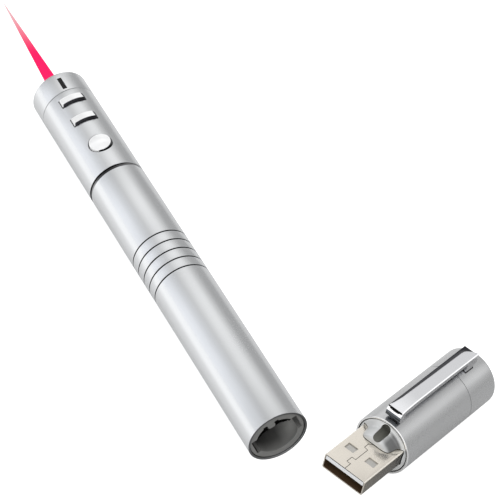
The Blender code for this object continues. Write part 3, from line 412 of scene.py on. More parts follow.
def grainFinish(name, surface, colour, shade, roughness, metal=0.0, specular=0.5, toned=False, lines=None):
    # Metal or plastic with its colour, its colour in the pits and its range of roughness, which vary with the
    # grain and the handling marks. A toned finish also takes the piece's tone: its painted light and shade.
    tree, add, shader, _ = newMaterial(name)
    grain, marks, handling, depth = surfaces[surface]
    place = add("ShaderNodeTexCoord").outputs["Object"]
    blasted = add("ShaderNodeGroup", node_tree=grainGroup)
    tree.links.new(place, blasted.inputs["Place"])
    blasted.inputs["Grain"].default_value = grain
    blasted.inputs["Marks"].default_value = marks
    pits = blasted.outputs["Pits"]
    height = pits
    rough = rangeNode(add, pits, 0.3, 0.7, *roughness)
    worn = mathNode(add, "MULTIPLY_ADD", blasted.outputs["Handling"], handling, rough)
    if lines:
        # Drawn lines add to the roughness and the bump
        scratches = add("ShaderNodeGroup", node_tree=linesGroup)
        tree.links.new(place, scratches.inputs["Place"])
        scratches.inputs["Turn"].default_value = lines["turn"]
        scratches.inputs["Squeeze"].default_value = lines["squeeze"]
        worn = mathNode(add, "MULTIPLY_ADD", scratches.outputs[0], lines["rough"], worn)
        height = mathNode(add, "MULTIPLY_ADD", scratches.outputs[0], lines["height"], pits)
    tint = add("ShaderNodeMix", {"Factor": pits, "A": (*shade, 1.0), "B": (*colour, 1.0)}, data_type="RGBA")
    shown = tint.outputs["Result"]
    if toned:
        tone = add("ShaderNodeAttribute", attribute_name="tone").outputs["Fac"]
        shown = add("ShaderNodeVectorMath", {0: shown, "Scale": tone}, operation="SCALE").outputs[0]
    bump = add("ShaderNodeBump", {"Strength": 1.0, "Distance": depth * mm, "Height": height})
    tree.links.new(shown, shader.inputs["Base Color"])
    tree.links.new(worn, shader.inputs["Roughness"])
    tree.links.new(bump.outputs[0], shader.inputs["Normal"])
    shader.inputs["Metallic"].default_value = metal
    shader.inputs["Specular IOR Level"].default_value = specular


def lensFinish(name, colour, roughness):
    # Clear glass with faint dust in its roughness.
    tree, add, shader, _ = newMaterial(name)
    dust = add("ShaderNodeGroup", node_tree=grainGroup)
    tree.links.new(add("ShaderNodeTexCoord").outputs["Object"], dust.inputs["Place"])
    haze = rangeNode(add, dust.outputs["Handling"], 0.0, 1.0, *roughness)
    tree.links.new(haze, shader.inputs["Roughness"])
    shader.inputs["Base Color"].default_value = (*colour, 1.0)
    shader.inputs["Transmission Weight"].default_value = 1.0
    shader.inputs["IOR"].default_value = 1.5


# The barrels and the receiver's tube
grainFinish("satinSilver", "blasted", (0.655, 0.665, 0.675), (0.60, 0.61, 0.62), (0.20, 0.26), 1.0)
grainFinish("satinGrey", "blasted", (0.60, 0.605, 0.61), (0.55, 0.555, 0.56), (0.24, 0.3), 1.0)
# A bare cut edge, made darker as painted shade
grainFinish("cutEdgeAndShade", "sawn", (0.16, 0.165, 0.17), (0.10, 0.10, 0.105), (0.38, 0.5), 1.0)
grainFinish("brightRim", "rubbed", (0.92, 0.925, 0.93), (0.88, 0.885, 0.89), (0.15, 0.2), 0.8)
# Plated parts
grainFinish("chrome", "plated", (0.97, 0.97, 0.98), (0.93, 0.93, 0.95), (0.05, 0.09), 1.0)
# Painted shade and painted dark reflection, put on faces of the metal parts
grainFinish("paintedShadeChrome", "wornPlated", (0.05, 0.05, 0.055), (0.03, 0.03, 0.035), (0.12, 0.2), 1.0)
grainFinish("ringMetal", "plated", (0.52, 0.52, 0.53), (0.48, 0.48, 0.49), (0.14, 0.2), 1.0, toned=True)
grainFinish("brightKey", "plated", (0.98, 0.98, 0.985), (0.95, 0.96, 0.965), (0.06, 0.1), 0.15)
grainFinish("clipChrome", "plated", (0.735, 0.74, 0.76), (0.70, 0.705, 0.72), (0.07, 0.12), 1.0, toned=True)
# Painted shade on the clip's side
grainFinish("clipSidePaintedShade", "plated", (0.60, 0.60, 0.61), (0.56, 0.56, 0.57), (0.1, 0.16), 0.8)
# Painted shade on the clip's bead
grainFinish("beadPaintedShade", "plated", (0.12, 0.13, 0.145), (0.09, 0.10, 0.11), (0.1, 0.16), 1.0)
grainFinish("nickel", "nickelled", (0.70, 0.68, 0.65), (0.62, 0.60, 0.57), (0.2, 0.3), 1.0)
grainFinish("gold", "gilt", (0.88, 0.68, 0.30), (0.80, 0.58, 0.22), (0.18, 0.28), 1.0)
grainFinish("brass", "cast", (0.78, 0.60, 0.31), (0.66, 0.48, 0.22), (0.22, 0.36), 1.0)
# The plug
grainFinish("plugSteel", "rolled", (0.83, 0.78, 0.70), (0.79, 0.74, 0.66), (0.1, 0.16), 1.0, lines={
    "turn": (0, 0, math.radians(-23)), "squeeze": (400, 14000, 14000), "rough": 0.06, "height": 0.3})
# Painted highlight on the plug's corners
grainFinish("paintedHighlightBevel", "rolled", (0.92, 0.87, 0.79), (0.88, 0.83, 0.75), (0.15, 0.25), 0.4)
# Painted shade on the plug's side
grainFinish("paintedShadeSide", "rolled", (0.15, 0.138, 0.118), (0.13, 0.12, 0.10), (0.2, 0.3), 1.0, toned=True)
# Painted shade inside the plug
grainFinish("mouthPaintedShade", "moulded", (0.09, 0.052, 0.026), (0.065, 0.038, 0.019), (0.4, 0.5))
# Painted shade and reflection on the tongue
grainFinish("tonguePaintedShade", "moulded", (0.060, 0.028, 0.012), (0.030, 0.014, 0.006), (0.35, 0.5))
grainFinish("greyLeaf", "pressed", (0.60, 0.59, 0.56), (0.50, 0.49, 0.47), (0.35, 0.45), 0.5)
# Painted light on the tongue's front
grainFinish("tonguePaintedLight", "rubbed", (0.94, 0.95, 0.96), (0.90, 0.91, 0.92), (0.25, 0.35), 0.2)
# Mouldings
grainFinish("linerPlastic", "roughMoulded", (0.185, 0.185, 0.18), (0.155, 0.155, 0.15), (0.38, 0.5),
            toned=True)
grainFinish("nosePlastic", "fineMoulded", (0.70, 0.71, 0.71), (0.64, 0.65, 0.65), (0.3, 0.42), 0.35,
            toned=True)
grainFinish("pocketShade", "fineMoulded", (0.15, 0.15, 0.13), (0.125, 0.125, 0.11), (0.4, 0.5))
# Black plastic, which the dock also takes as painted shade in its slot's end
grainFinish("blackPlasticAndShade", "moulded", (0.028, 0.026, 0.025), (0.016, 0.015, 0.014), (0.3, 0.45))
grainFinish("blackGloss", "gloss", (0.012, 0.013, 0.013), (0.008, 0.008, 0.009), (0.1, 0.16), specular=0.12)
# Painted shade and painted dark reflection
grainFinish("paintedShadeBlack", "matt", (0.008, 0.008, 0.007), (0.004, 0.004, 0.004), (0.6, 0.8), specular=0.05)
grainFinish("whitePlastic", "chassis", (0.74, 0.74, 0.72), (0.66, 0.66, 0.64), (0.4, 0.52))
# The parts inside
grainFinish("boardGreen", "laminate", (0.035, 0.21, 0.085), (0.018, 0.12, 0.045), (0.3, 0.44))
grainFinish("chipBlack", "chip", (0.035, 0.035, 0.04), (0.02, 0.02, 0.022), (0.45, 0.6))
grainFinish("cellJacket", "wrapped", (0.10, 0.26, 0.46), (0.08, 0.21, 0.38), (0.26, 0.36))
grainFinish("indicatorRed", "tinted", (0.72, 0.10, 0.08), (0.56, 0.05, 0.04), (0.15, 0.25))
lensFinish("lensGlass", (0.96, 0.98, 1.0), (0.01, 0.06))
print("finishes made:", len(materials))


# The pointer's rear barrel

rear = {
    "length": 91.45,
    "firstGroove": 52.5,
    "groovePitch": 3.28,
    "grooves": 5,
    "grooveWidth": 0.4,
    "grooveDepth": 0.38,
    "grooveLip": 0.07,
    "paintGap": 0.06,
}
grooveRows = []
for grooveAt in rear["firstGroove"] + np.arange(rear["grooves"]) * rear["groovePitch"]:
    low, high = grooveAt - rear["grooveWidth"] / 2, grooveAt + rear["grooveWidth"] / 2
    grooveFloor = tube["radius"] - rear["grooveDepth"]
    grooveRows += [(low, tube["radius"], rear["grooveLip"]), (low, grooveFloor, fineEdge),
                   (high, grooveFloor, fineEdge), (high, tube["radius"], rear["grooveLip"])]
rearBarrel = turned(
    "rearBarrel",
    [(0, tube["bore"], fineEdge), (0, tube["radius"], easedEdge)] + grooveRows
    + [(rear["length"], tube["radius"], tube["edge"]), (rear["length"], tube["bore"], fineEdge)],
    rearFrame,
)
finished(rearBarrel, "rear_section", "barrel_aluminium", "rear_barrel",
         "satinSilver", "cutEdgeAndShade", "paintedShadeChrome")
# The tail's end face is a bare cut edge, darker as painted shade.
paintFaces(rearBarrel, lambda at, facing: (at.y < rear["paintGap"]) & (facing.y < -0.7))
# Painted shade in the grooves: their walls and floors are dark.
paintFaces(rearBarrel, lambda at, facing: (
    (at.y > rear["firstGroove"] - 1) & (at.y < rear["length"] - 1)
    & (at.out < tube["radius"] - rear["paintGap"]) & (at.out > tube["bore"] + rear["paintGap"])
), 2)


# The dock in its tail

dock = {
    "face": 0.3,
    "length": 30.0,
    "mouth": 5.4,
    "depth": 7.2,
    "wallRows": (7.0, 3.6, -0.14),
    "shadow": [(0, 9), (0.9, 9), (1.0, 6.7), (2, 6.35), (3, 5.75), (4, 4.85), (4.5, 4.1), (5, 3.8), (6, 3.8)],
    "slotHalf": (6.15, 2.45),
    "slotRise": 0.5,
    "slotDepth": 17.8,
    "hookHalf": 0.95,
    "hookTip": 3.8,
    "hookFrom": 0.4,
    "hookTo": 1.9,
    "notchFrom": 1.05,
    "notchTo": 2.05,
    "notchTop": 5.55,
    "notchDepth": 8.0,
    "mouthLightAndShade": [(-5, 0.22), (0, 0.55), (2, 1.5), (4, 3.0), (5, 3.2)],
}
dockLiner = turned(
    "dockLiner",
    [(dock["depth"], 0, 0), (dock["depth"], dock["mouth"], easedEdge),
     *[(depth, dock["mouth"], 0) for depth in np.arange(*dock["wallRows"])],
     (dock["face"], dock["mouth"], 0.18),
     (dock["face"], tube["fit"], 0.12), (dock["length"], tube["fit"], easedEdge), (dock["length"], 0, 0)],
    dockFrame, closed=False, facets=tube["innerFacets"],
)
slotOutline = roundedBox(*dock["slotHalf"], 0.3, centre=(0, dock["slotRise"]))
dockTools = [solid("slotTool", drawn(slotOutline, -2, dock["slotDepth"]), dockFrame)]
notchMiddle = (dock["notchFrom"] + dock["notchTo"]) / 2
notchHalf = (dock["notchTo"] - dock["notchFrom"]) / 2
notchRise = (dock["hookTip"] + dock["notchTop"]) / 2
for side in (-1, 1):
    notchOutline = roundedBox(notchHalf, (dock["notchTop"] - dock["hookTip"]) / 2, 0.15,
                              centre=(side * notchMiddle, notchRise))
    dockTools.append(solid("notchTool", drawn(notchOutline, -2, dock["notchDepth"]), dockFrame))
carved(dockLiner, dockTools)
hookOutline = softened([
    (dock["hookHalf"], dock["mouth"] + 0.12, 0), (dock["hookHalf"], dock["hookTip"], 0.75),
    (-dock["hookHalf"], dock["hookTip"], 0.75), (-dock["hookHalf"], dock["mouth"] + 0.12, 0),
])
hook = solid("hook", drawn(hookOutline, dock["hookFrom"], dock["hookTo"]), dockFrame)
carved(dockLiner, [hook], "UNION")
finished(dockLiner, "rear_section", "liner_plastic", "dock_liner", "linerPlastic", "paintedShadeBlack",
         "blackPlasticAndShade")
# Painted shade: the back, the deep part of the mouth beyond the shadow line and the notches' side walls
paintFaces(dockLiner, lambda at, facing: (
    ((facing.y < -0.7) & (at.y > dock["depth"] - 0.1) & (at.y < dock["length"] - 1))
    | ((at.y > lineAt(np.abs(at.x), dock["shadow"])) & (at.y < dock["length"] - 1)
     & (at.out < dock["mouth"] + nearBy))
    | ((np.abs(facing.x) > 0.7) & (np.abs(at.x) < dock["notchTo"] + 0.05)
       & (np.abs(at.x) > dock["notchFrom"] - 0.05) & (at.z > 0))
))
# Painted shade: the slot's left end is dark.
paintFaces(dockLiner, lambda at, facing: (
    (at.x < -4.5) & (at.y > 0.6) & (at.y < dock["slotDepth"] + 0.1) & (np.abs(facing.y) < 0.5)
    & (at.out > dock["mouth"] + 0.05) & (at.x > -dock["slotHalf"][0] - nearBy)
), 2)
# Painted light and shade: inside the mouth the plastic is darker on the left and lighter on the right,
# and darkest in the slot's ends
toned(dockLiner, lambda at: np.where(at.y < dock["face"] + 0.2, 1.0, np.where(
    at.out < dock["mouth"] + nearBy,
    lineAt(at.x, dock["mouthLightAndShade"]), np.where(at.x < 0, 0.25, 0.75))))
print("rear barrel and dock made")


# The joint between the barrels

joint = {
    "ring": (91.6, 92.4),
    "ringRadius": 7.5,
    "ringBore": 6.4,
    "ringEdge": 0.16,
    "ringPaintedReflection": [(-180, 0.3), (-110, 0.6), (-80, 0.5), (-60, 0.16), (-40, 0.06), (-15, 0.09), (0, 0.2),
                  (12, 0.6), (30, 1.0), (60, 0.7), (180, 0.3)],
    "collarFrom": 85.2,
    "collarTo": 97.7,
    "thread": 6.2,
    "root": 5.95,
    "collarBore": 5.6,
    "pitch": 1.0,
    "threadFrom": 92.75,
    "threadTo": 97.45,
    "threadFade": 0.4,
}
ringLow, ringHigh = joint["ring"]
trimRing = turned(
    "trimRing",
    [(ringLow, joint["ringBore"], creaseEdge), (ringLow, joint["ringRadius"], joint["ringEdge"]),
     (ringHigh, joint["ringRadius"], joint["ringEdge"]), (ringHigh, joint["ringBore"], creaseEdge)],
    rearFrame,
)
finished(trimRing, "joint_ring", "chrome", "trim_ring", "ringMetal")
# Painted reflection: the ring's tone goes by the angle round the tube, from up towards +X.
toned(trimRing, lambda at: lineAt(np.degrees(np.arctan2(at.x, at.z)), joint["ringPaintedReflection"]))


def threadedCollar():
    # The outside radius is the root plus the thread's depth times a wave that repeats each pitch along Y and
    # moves on by one pitch for each turn, faded in and out at the thread's ends.
    along = np.linspace(joint["threadFrom"], joint["threadTo"], 90)[:, None]
    t = (np.arange(tube["innerFacets"]) * 2 * math.pi / tube["innerFacets"])[None, :]
    wave = 0.5 - 0.5 * np.cos(2 * math.pi * (along / joint["pitch"] - t / (2 * math.pi)))
    nearest = np.minimum(along - joint["threadFrom"], joint["threadTo"] - along)
    fade = np.clip(nearest / joint["threadFade"], 0, 1)
    radius = joint["root"] + (joint["thread"] - joint["root"]) * wave * fade
    threads = np.stack([radius * np.sin(t), np.broadcast_to(along, radius.shape), radius * np.cos(t)], axis=2)
    first = revolved(softened(
        [(joint["collarFrom"], joint["collarBore"], fineEdge), (joint["collarFrom"], tube["fit"], easedEdge),
         (rear["length"], tube["fit"], easedEdge), (rear["length"], joint["root"], fineEdge),
         (joint["threadFrom"] - 0.05, joint["root"], 0)], closed=False,
    ), tube["innerFacets"])
    last = revolved(softened(
        [(joint["threadTo"] + 0.05, joint["root"], 0), (joint["collarTo"], joint["root"], 0.08),
         (joint["collarTo"], joint["collarBore"], fineEdge),
         (joint["collarFrom"], joint["collarBore"], fineEdge)],
        closed=False,
    ), tube["innerFacets"])
    return solid("threadedCollar", np.concatenate([first, threads, last]), rearFrame, closed=True)


finished(threadedCollar(), "rear_section", "brass", "threaded_collar", "brass")


# The front barrel

front = {
    "start": 92.55,
    "end": 123.65,
    "laserAt": 101.65,
    "pageWindow": (3.42, 1.6),
    "pageCorner": 0.3,
    "laserWindow": 3.2,
    "windowChamfer": 0.07,
    "boardTop": 3.85,
    "sidePoints": 14,
}
frontBarrel = turned(
    "frontBarrel",
    [(front["start"], tube["bore"], fineEdge), (front["start"], tube["radius"], tube["edge"]),
     (front["end"], tube["radius"], tube["seamEdge"]), (front["end"], tube["bore"], fineEdge)],
    frontFrame,
)
pageKeys = {
    "pageBackKey": {"at": 112.2, "node": "page_back_button", "body": "page_back_key"},
    "pageForwardKey": {"at": 120.05, "node": "page_forward_button", "body": "page_forward_key"},
}
frontTools = [
    boxWindow("windowTool", frontFrame, front["pageWindow"], front["pageCorner"], key["at"],
              front["boardTop"], front["windowChamfer"], between=front["sidePoints"])
    for key in pageKeys.values()
]
frontTools.append(windowTool(
    "laserWindowTool", frontFrame,
    lambda grow: circle(front["laserWindow"] + grow, 96, (0, front["laserAt"])),
    front["boardTop"], front["windowChamfer"],
))
carved(frontBarrel, frontTools)
finished(frontBarrel, "front_section", "barrel_aluminium", "front_barrel", "satinSilver", "paintedShadeChrome")
# Painted shade: the walls of the key windows and the rear face towards -X are dark.
paintFaces(frontBarrel, lambda at, facing: (
    ((at.z > tube["bore"] * 0.7) & (at.y > front["start"] + 1) & (at.y < front["end"] - 1)
     & (facing.z < 0.6) & (facing.z > -0.5) & (at.out < tube["radius"] - 0.05))
    | (facing.y < -0.7) & (at.y < front["start"] + 0.1) & (at.x < 0.5)
))


# Keys

pageKey = {
    "half": (3.2, 1.46),
    "corner": 0.25,
    "topHalf": (2.92, 1.28),
    "topShift": 0.14,
    "topCorner": 0.14,
    "rise": 0.85,
    "toe": 0.3,
    "foot": 5.55,
    "flangeTop": 6.05,
    "flangeLap": 0.4,
    "shoulder": 0.2,
}


def pageKeyPiece(name, at):
    # Rings of rounded boxes: up the flange and the body, in over the sloping sides to the smaller top
    # outline, and in again to the middle. The top's height over the barrel falls in a straight line from
    # the rise at its rear edge to the toe at its front edge, and z = sqrt((radius + height)^2 - x^2).
    halfX, halfY = pageKey["half"]
    topX, topY = pageKey["topHalf"]
    between = front["sidePoints"]
    body = roundedBox(halfX, halfY, pageKey["corner"], between=between)
    flange = roundedBox(halfX, halfY + pageKey["flangeLap"], pageKey["corner"], between=between)
    top = roundedBox(topX, topY, pageKey["topCorner"], centre=(0, pageKey["topShift"]), between=between)
    skirt = raised([flange, flange, body], [pageKey["foot"], pageKey["flangeTop"], pageKey["flangeTop"]])
    run = softened([(0, -0.5, 0), (0, 0, fineEdge), (1, 1, pageKey["shoulder"]), (2, 1, 0)], closed=False,
                   steps=4)
    inset, level = run[:, 0][:, None], run[:, 1][:, None]
    middle = np.array([0, pageKey["topShift"]])
    spread = np.clip(inset, 0, 1)[:, :, None]
    outlines = body * (1 - spread) + top * spread
    outlines = middle + (outlines - middle) * (1 - np.clip(inset - 1, 0, 1)[:, :, None])
    share = (outlines[:, :, 1] - middle[1] + topY) / (2 * topY)
    height = pageKey["rise"] + (pageKey["toe"] - pageKey["rise"]) * np.clip(share, 0, 1)
    height = np.where(level > 0, height * np.clip(level, 0, 1), level)
    z = np.sqrt((tube["radius"] + height) ** 2 - outlines[:, :, 0] ** 2)
    rings = np.concatenate([skirt, np.concatenate([outlines, z[:, :, None]], axis=2)])
    rings[:, :, 1] += at
    return solid(name, rings, frontFrame)


for keyName, key in pageKeys.items():
    piece = pageKeyPiece(keyName, key["at"])
    finished(piece, key["body"], "chrome", key["node"], "brightKey", "paintedShadeChrome")
    # Painted shade: the sides away from the light are dark
    paintFaces(piece, lambda at, facing: (facing.y < -0.35) & (facing.z < 0.85) | (facing.x > 0.6))

laserKey = {
    "radius": 2.95,
    "rim": 7.95,
    "top": 8.55,
    "domeRadius": 2.77,
    "flange": 3.4,
    "foot": 5.55,
    "flangeTop": 6.05,
    "edge": 0.3,
}
# The dome falls from its top to the rim with the square of the distance from the middle.
domeRows = [
    (laserKey["top"] - (laserKey["top"] - laserKey["rim"]) * share ** 2, laserKey["domeRadius"] * share, 0)
    for share in np.linspace(1, 0, 14)[1:]
]
laserButton = solid("laserKey", revolved(softened(
    [(laserKey["foot"], 0, 0), (laserKey["foot"], laserKey["flange"], fineEdge),
     (laserKey["flangeTop"], laserKey["flange"], fineEdge),
     (laserKey["flangeTop"], laserKey["radius"], creaseEdge),
     (laserKey["rim"], laserKey["radius"], laserKey["edge"])] + domeRows, closed=False, steps=6,
), 96, lengthwise=False) + np.array([0, front["laserAt"], 0]), frontFrame)
finished(laserButton, "laser_key", "chrome", "laser_button", "brightKey", "paintedShadeChrome")
# Painted shade: the rim's side towards +X and -Y is dark.
paintFaces(laserButton, lambda at, facing: (
    (at.z < laserKey["rim"] + 0.12 * np.clip(facing.x - facing.y, 0, 1))
    & (facing.x - facing.y > 0.35)
))
print("front barrel and keys made")


# The head

head = {
    "start": 123.8,
    "tip": 131.0,
    "spigot": 122.4,
    "edge": 0.6,
    "faceBack": 129.7,
    "aperture": 2.2,
    "flare": 0.5,
    "slot": (124.5, 129.0),
    "slotWidth": 1.15,
    "slotCorner": 0.12,
    "slotChamfer": 0.05,
    "lensGap": 0.06,
    "lensSunk": 0.1,
    "windowFoot": 5.85,
}
headPiece = turned(
    "head",
    [(head["spigot"], tube["spigotBore"], fineEdge), (head["spigot"], tube["fit"], easedEdge),
     (head["start"], tube["fit"], creaseEdge), (head["start"], tube["radius"], tube["seamEdge"]),
     (head["tip"], tube["radius"], head["edge"]), (head["tip"], head["aperture"] + head["flare"], 0.12),
     (head["tip"] - head["flare"], head["aperture"], 0.12), (head["faceBack"], head["aperture"], fineEdge),
     (head["faceBack"], tube["bore"], fineEdge), (head["start"] + tube["shoulder"], tube["bore"], creaseEdge),
     (head["start"] + tube["shoulder"], tube["spigotBore"], creaseEdge)],
    frontFrame,
)
slotMiddle = sum(head["slot"]) / 2
slotHalf = (head["slot"][1] - head["slot"][0]) / 2
slotWide = head["slotWidth"] / 2
carved(headPiece, [boxWindow("indicatorSlotTool", frontFrame, (slotWide, slotHalf), head["slotCorner"],
                             slotMiddle, head["windowFoot"], head["slotChamfer"])])
finished(headPiece, "front_section", "barrel_aluminium", "head", "satinSilver")
lens = roundedBox(slotWide - head["lensGap"], slotHalf - head["lensGap"], 0.1, centre=(0, slotMiddle))
lensTop = np.sqrt((tube["radius"] - head["lensSunk"]) ** 2 - lens[:, 0] ** 2)
indicatorWindow = solid("indicatorWindow", raised([lens, lens, lens * [0.85, 1]],
                                                  [head["windowFoot"], lensTop - 0.05, lensTop]), frontFrame)
finished(indicatorWindow, "front_section", "smoked_window", "indicator_window", "blackGloss")
print("head made")


# The receiver's shell

receiver = {
    "seam": 25.82,
    "length": 36.0,
    "rim": 0.2,
    "capEdge": 0.58,
    "capFace": 1.0,
    "spigot": 1.4,
    "slotHalf": 2.22,
    "slotFrom": -28.25,
    "slotTo": -31.5,
    "slotCorner": 0.2,
    "slotChamfer": 0.06,
    "pinRise": 5.2,
}
receiverSleeve = turned(
    "receiverSleeve",
    [(0, tube["bore"], 0.08), (0, tube["radius"], receiver["rim"]),
     (-tube["sleeveLength"], tube["radius"], fineEdge), (-tube["sleeveLength"], tube["bore"], fineEdge)],
    receiverFrame,
)
finished(receiverSleeve, "receiver", "receiver_aluminium", "receiver_sleeve", "satinGrey", "paintedShadeBlack",
         "brightRim")
paintFaces(receiverSleeve, lambda at, facing: (at.y > -0.2) & (facing.y > 0.1), 2)
# Painted shade: the inside of the tube just behind the rim is black.
paintFaces(receiverSleeve, lambda at, facing: (
    (at.out < tube["bore"] + 0.1) & (at.y > -2) & (at.y < -0.1)
))

endCap = turned(
    "receiverEndCap",
    [(-receiver["seam"] + receiver["spigot"], tube["spigotBore"], fineEdge),
     (-receiver["seam"] + receiver["spigot"], tube["fit"], easedEdge),
     (-receiver["seam"], tube["fit"], creaseEdge), (-receiver["seam"], tube["radius"], fineEdge),
     (-receiver["length"], tube["radius"], receiver["capEdge"]),
     (-receiver["length"], 0, 0)],
    receiverFrame, closed=False,
)
capHollow = turned(
    "capHollowTool",
    [(-receiver["length"] + receiver["capFace"], 0, 0),
     (-receiver["length"] + receiver["capFace"], tube["bore"], easedEdge),
     (-receiver["seam"] - tube["shoulder"], tube["bore"], 0),
     (-receiver["seam"] - tube["shoulder"], tube["spigotBore"], 0),
     (-receiver["seam"] + 3, tube["spigotBore"], 0), (-receiver["seam"] + 3, 0, 0)],
    receiverFrame, closed=False, facets=tube["innerFacets"],
)
slotCentre = (receiver["slotFrom"] + receiver["slotTo"]) / 2
slotReach = (receiver["slotFrom"] - receiver["slotTo"]) / 2
carved(endCap, [capHollow, boxWindow("clipSlotTool", receiverFrame, (receiver["slotHalf"], slotReach),
                                     receiver["slotCorner"], slotCentre, receiver["pinRise"],
                                     receiver["slotChamfer"])])
finished(endCap, "receiver", "receiver_aluminium", "receiver_end_cap", "satinGrey")
print("receiver shell made")


# Its nose and the carrier behind

nose = {
    "front": 3.9,
    "radius": 4.9,
    "round": 1.4,
    "foot": (0.5, 5.33, 0.5),
    "skirt": (-0.05, 6.5, 0.15),
    "flange": -0.15,
    "step": -2.5,
    "flangeRadius": 7.0,
    "carrierEnd": -23.5,
    "carrierTop": -0.8,
    "flangeBack": -3.0,
    "trayHalf": 4.4,
    "trayFloor": -3.4,
    "wall": 1.6,
    "pocketHalf": 1.3,
    "pocketBack": -1.3,
    "pocketSpan": (3.95, 6.8),
    "slotHalf": (6.15, 2.4),
    "slotRise": 0.5,
    "slotBack": -2.35,
    "topHalf": 9.0,
    "topPast": 3.0,
    "flangeFrom": 5.8,
    "flangePaintedLight": 1.12,
    "bossTone": 1.08,
    "flankPaintedShade": 0.84,
    "flankFrom": 0.6,
    "flankRun": 1.8,
    "flankTop": 3.95,
    "flankRise": 0.9,
}
noseProfile = softened(
    [(nose["front"], 0, 0), (nose["front"], nose["radius"], nose["round"]), nose["foot"], nose["skirt"],
     (nose["flange"], nose["flangeRadius"], fineEdge), (nose["step"], nose["flangeRadius"], 0),
     (nose["step"], tube["fit"], 0), (nose["carrierEnd"], tube["fit"], easedEdge),
     (nose["carrierEnd"], 0, 0)],
    closed=False, steps=8,
)
receiverNose = solid("receiverNose", revolved(noseProfile, tube["innerFacets"]), receiverFrame)
pocketMiddle, pocketReach = sum(nose["pocketSpan"]) / 2, (nose["pocketSpan"][1] - nose["pocketSpan"][0]) / 2
pocketOutline = roundedBox(nose["pocketHalf"], pocketReach, nose["pocketHalf"] * 0.98, steps=12,
                           centre=(0, pocketMiddle))
topFrom = nose["carrierEnd"] - nose["topPast"]
topBox = roundedBox(nose["topHalf"], (nose["flangeBack"] - topFrom) / 2, 0.2,
                    centre=(0, (nose["flangeBack"] + topFrom) / 2))
trayBox = roundedBox(
    nose["trayHalf"], (nose["flangeBack"] - nose["carrierEnd"] - 2 * nose["wall"]) / 2, 0.4,
    centre=(0, (nose["flangeBack"] + nose["carrierEnd"]) / 2),
)
plugSlot = roundedBox(*nose["slotHalf"], 0.35, centre=(0, nose["slotRise"]))
carved(receiverNose, [
    solid("plugSlotTool", drawn(plugSlot, nose["slotBack"], 7), receiverFrame),
    solid("pocketTool", drawn(pocketOutline, nose["pocketBack"], 7), receiverFrame),
    solid("carrierTopTool", drawn(topBox, nose["carrierTop"], 10, "Z"), receiverFrame),
    solid("trayTool", drawn(trayBox, nose["trayFloor"], 9, "Z"), receiverFrame),
])
finished(receiverNose, "receiver", "nose_plastic", "receiver_nose", "nosePlastic", "pocketShade", "paintedShadeBlack")
# Painted shade in the pocket and the plug's slot, and a black line round the flange's edge.
paintFaces(receiverNose, lambda at, facing: (
    ((np.hypot(at.x, at.z - pocketMiddle) < pocketReach + 0.05) & (at.y > nose["pocketBack"] - nearBy)
     & ((at.x * facing.x + (at.z - pocketMiddle) * facing.z < -0.8)
        | (at.y < nose["pocketBack"] + nearBy)))
    | ((np.abs(at.x) < nose["slotHalf"][0] + nearBy) & (at.y > nose["slotBack"] - nearBy)
       & (np.abs(at.z - nose["slotRise"]) < nose["slotHalf"][1] + nearBy) & (facing.y < 0.5))
))
paintFaces(receiverNose, lambda at, facing: (
    (at.out > nose["flangeRadius"] - 0.12) & (at.y > -4)
), 2)


def noseLightAndShade(at):
    # Painted light and shade: the boss is darker on its flank towards -X, the flange round it lightest.
    aside = np.clip((-at.x - nose["flankFrom"]) / nose["flankRun"], 0, 1)
    below = np.clip((nose["flankTop"] - at.y) / nose["flankRise"], 0, 1)
    boss = nose["bossTone"] - nose["flankPaintedShade"] * aside * below
    return np.where(at.out > nose["flangeFrom"], nose["flangePaintedLight"], boss)


toned(receiverNose, noseLightAndShade)
print("nose made")


# The plug

plug = {
    "half": (6.0, 2.25),
    "rise": 0.5,
    "corner": 0.4,
    "wall": 0.3,
    "back": -2.2,
    "tip": 15.0,
    "tipEdge": 0.06,
    "holeAt": 8.8,
    "holeSpread": 3.05,
    "holeHalf": (1.37, 1.05),
    "seamWidth": 0.15,
    "seamDepth": 0.16,
    "seam": [(15.2, 0.0), (12.95, 0.0), (12.95, 1.1), (11.0, 1.1), (11.0, 0.0), (6.35, 0.0),
             (6.2, 1.1), (4.6, 1.1), (3.9, 0.05), (3.0, 0.0)],
    "tongue": (1.2, 2.35),
    "sideShadeTones": [(0, 0.5), (15, 1.7)],
    "tongueEnd": 14.9,
    "terminals": (-3.5, -1.0, 1.0, 3.5),
    "terminalHalf": (0.5, 4.75),
    "terminalAt": 8.55,
    "terminalLevels": (1.1, 0.97, 0.9),
    "terminalBevel": 0.07,
}


def plugShell():
    # Rounded boxes along Y, out along the outside, in at the tip and back along the inside.
    halfX, halfZ = plug["half"]
    rows = [(plug["back"], 0), (plug["tip"] - plug["tipEdge"], 0), (plug["tip"], plug["tipEdge"]),
            (plug["tip"], plug["wall"] - 0.04), (plug["tip"] - 0.05, plug["wall"]),
            (plug["back"], plug["wall"])]
    rings = np.stack([
        drawn(roundedBox(halfX - inset, halfZ - inset, max(plug["corner"] - inset * 0.6, 0.1),
                         centre=(0, plug["rise"])), along, along)[0]
        for along, inset in rows
    ])
    return solid("plugShell", rings, receiverFrame, closed=True, smoothAngle=25)


def seamTool():
    # A thin ribbon that follows the seam: at each corner the two sides' normals are added and scaled so
    # that both sides keep half the width.
    path = np.array(plug["seam"])[:, ::-1]
    step = np.diff(path, axis=0)
    step /= np.linalg.norm(step, axis=1, keepdims=True)
    normal = np.column_stack([-step[:, 1], step[:, 0]])
    joined = np.concatenate([normal[:1], normal[:-1] + normal[1:], normal[-1:]])
    joined /= np.linalg.norm(joined, axis=1, keepdims=True)
    nearest = np.concatenate([normal[:1], normal])
    joined /= np.sum(joined * nearest, axis=1, keepdims=True)
    half = plug["seamWidth"] / 2
    ribbon = np.concatenate([path + joined * half, (path - joined * half)[::-1]])
    top = plug["rise"] + plug["half"][1]
    return solid("seamTool", drawn(ribbon, top - plug["seamDepth"], top + 1, "Z"), receiverFrame)


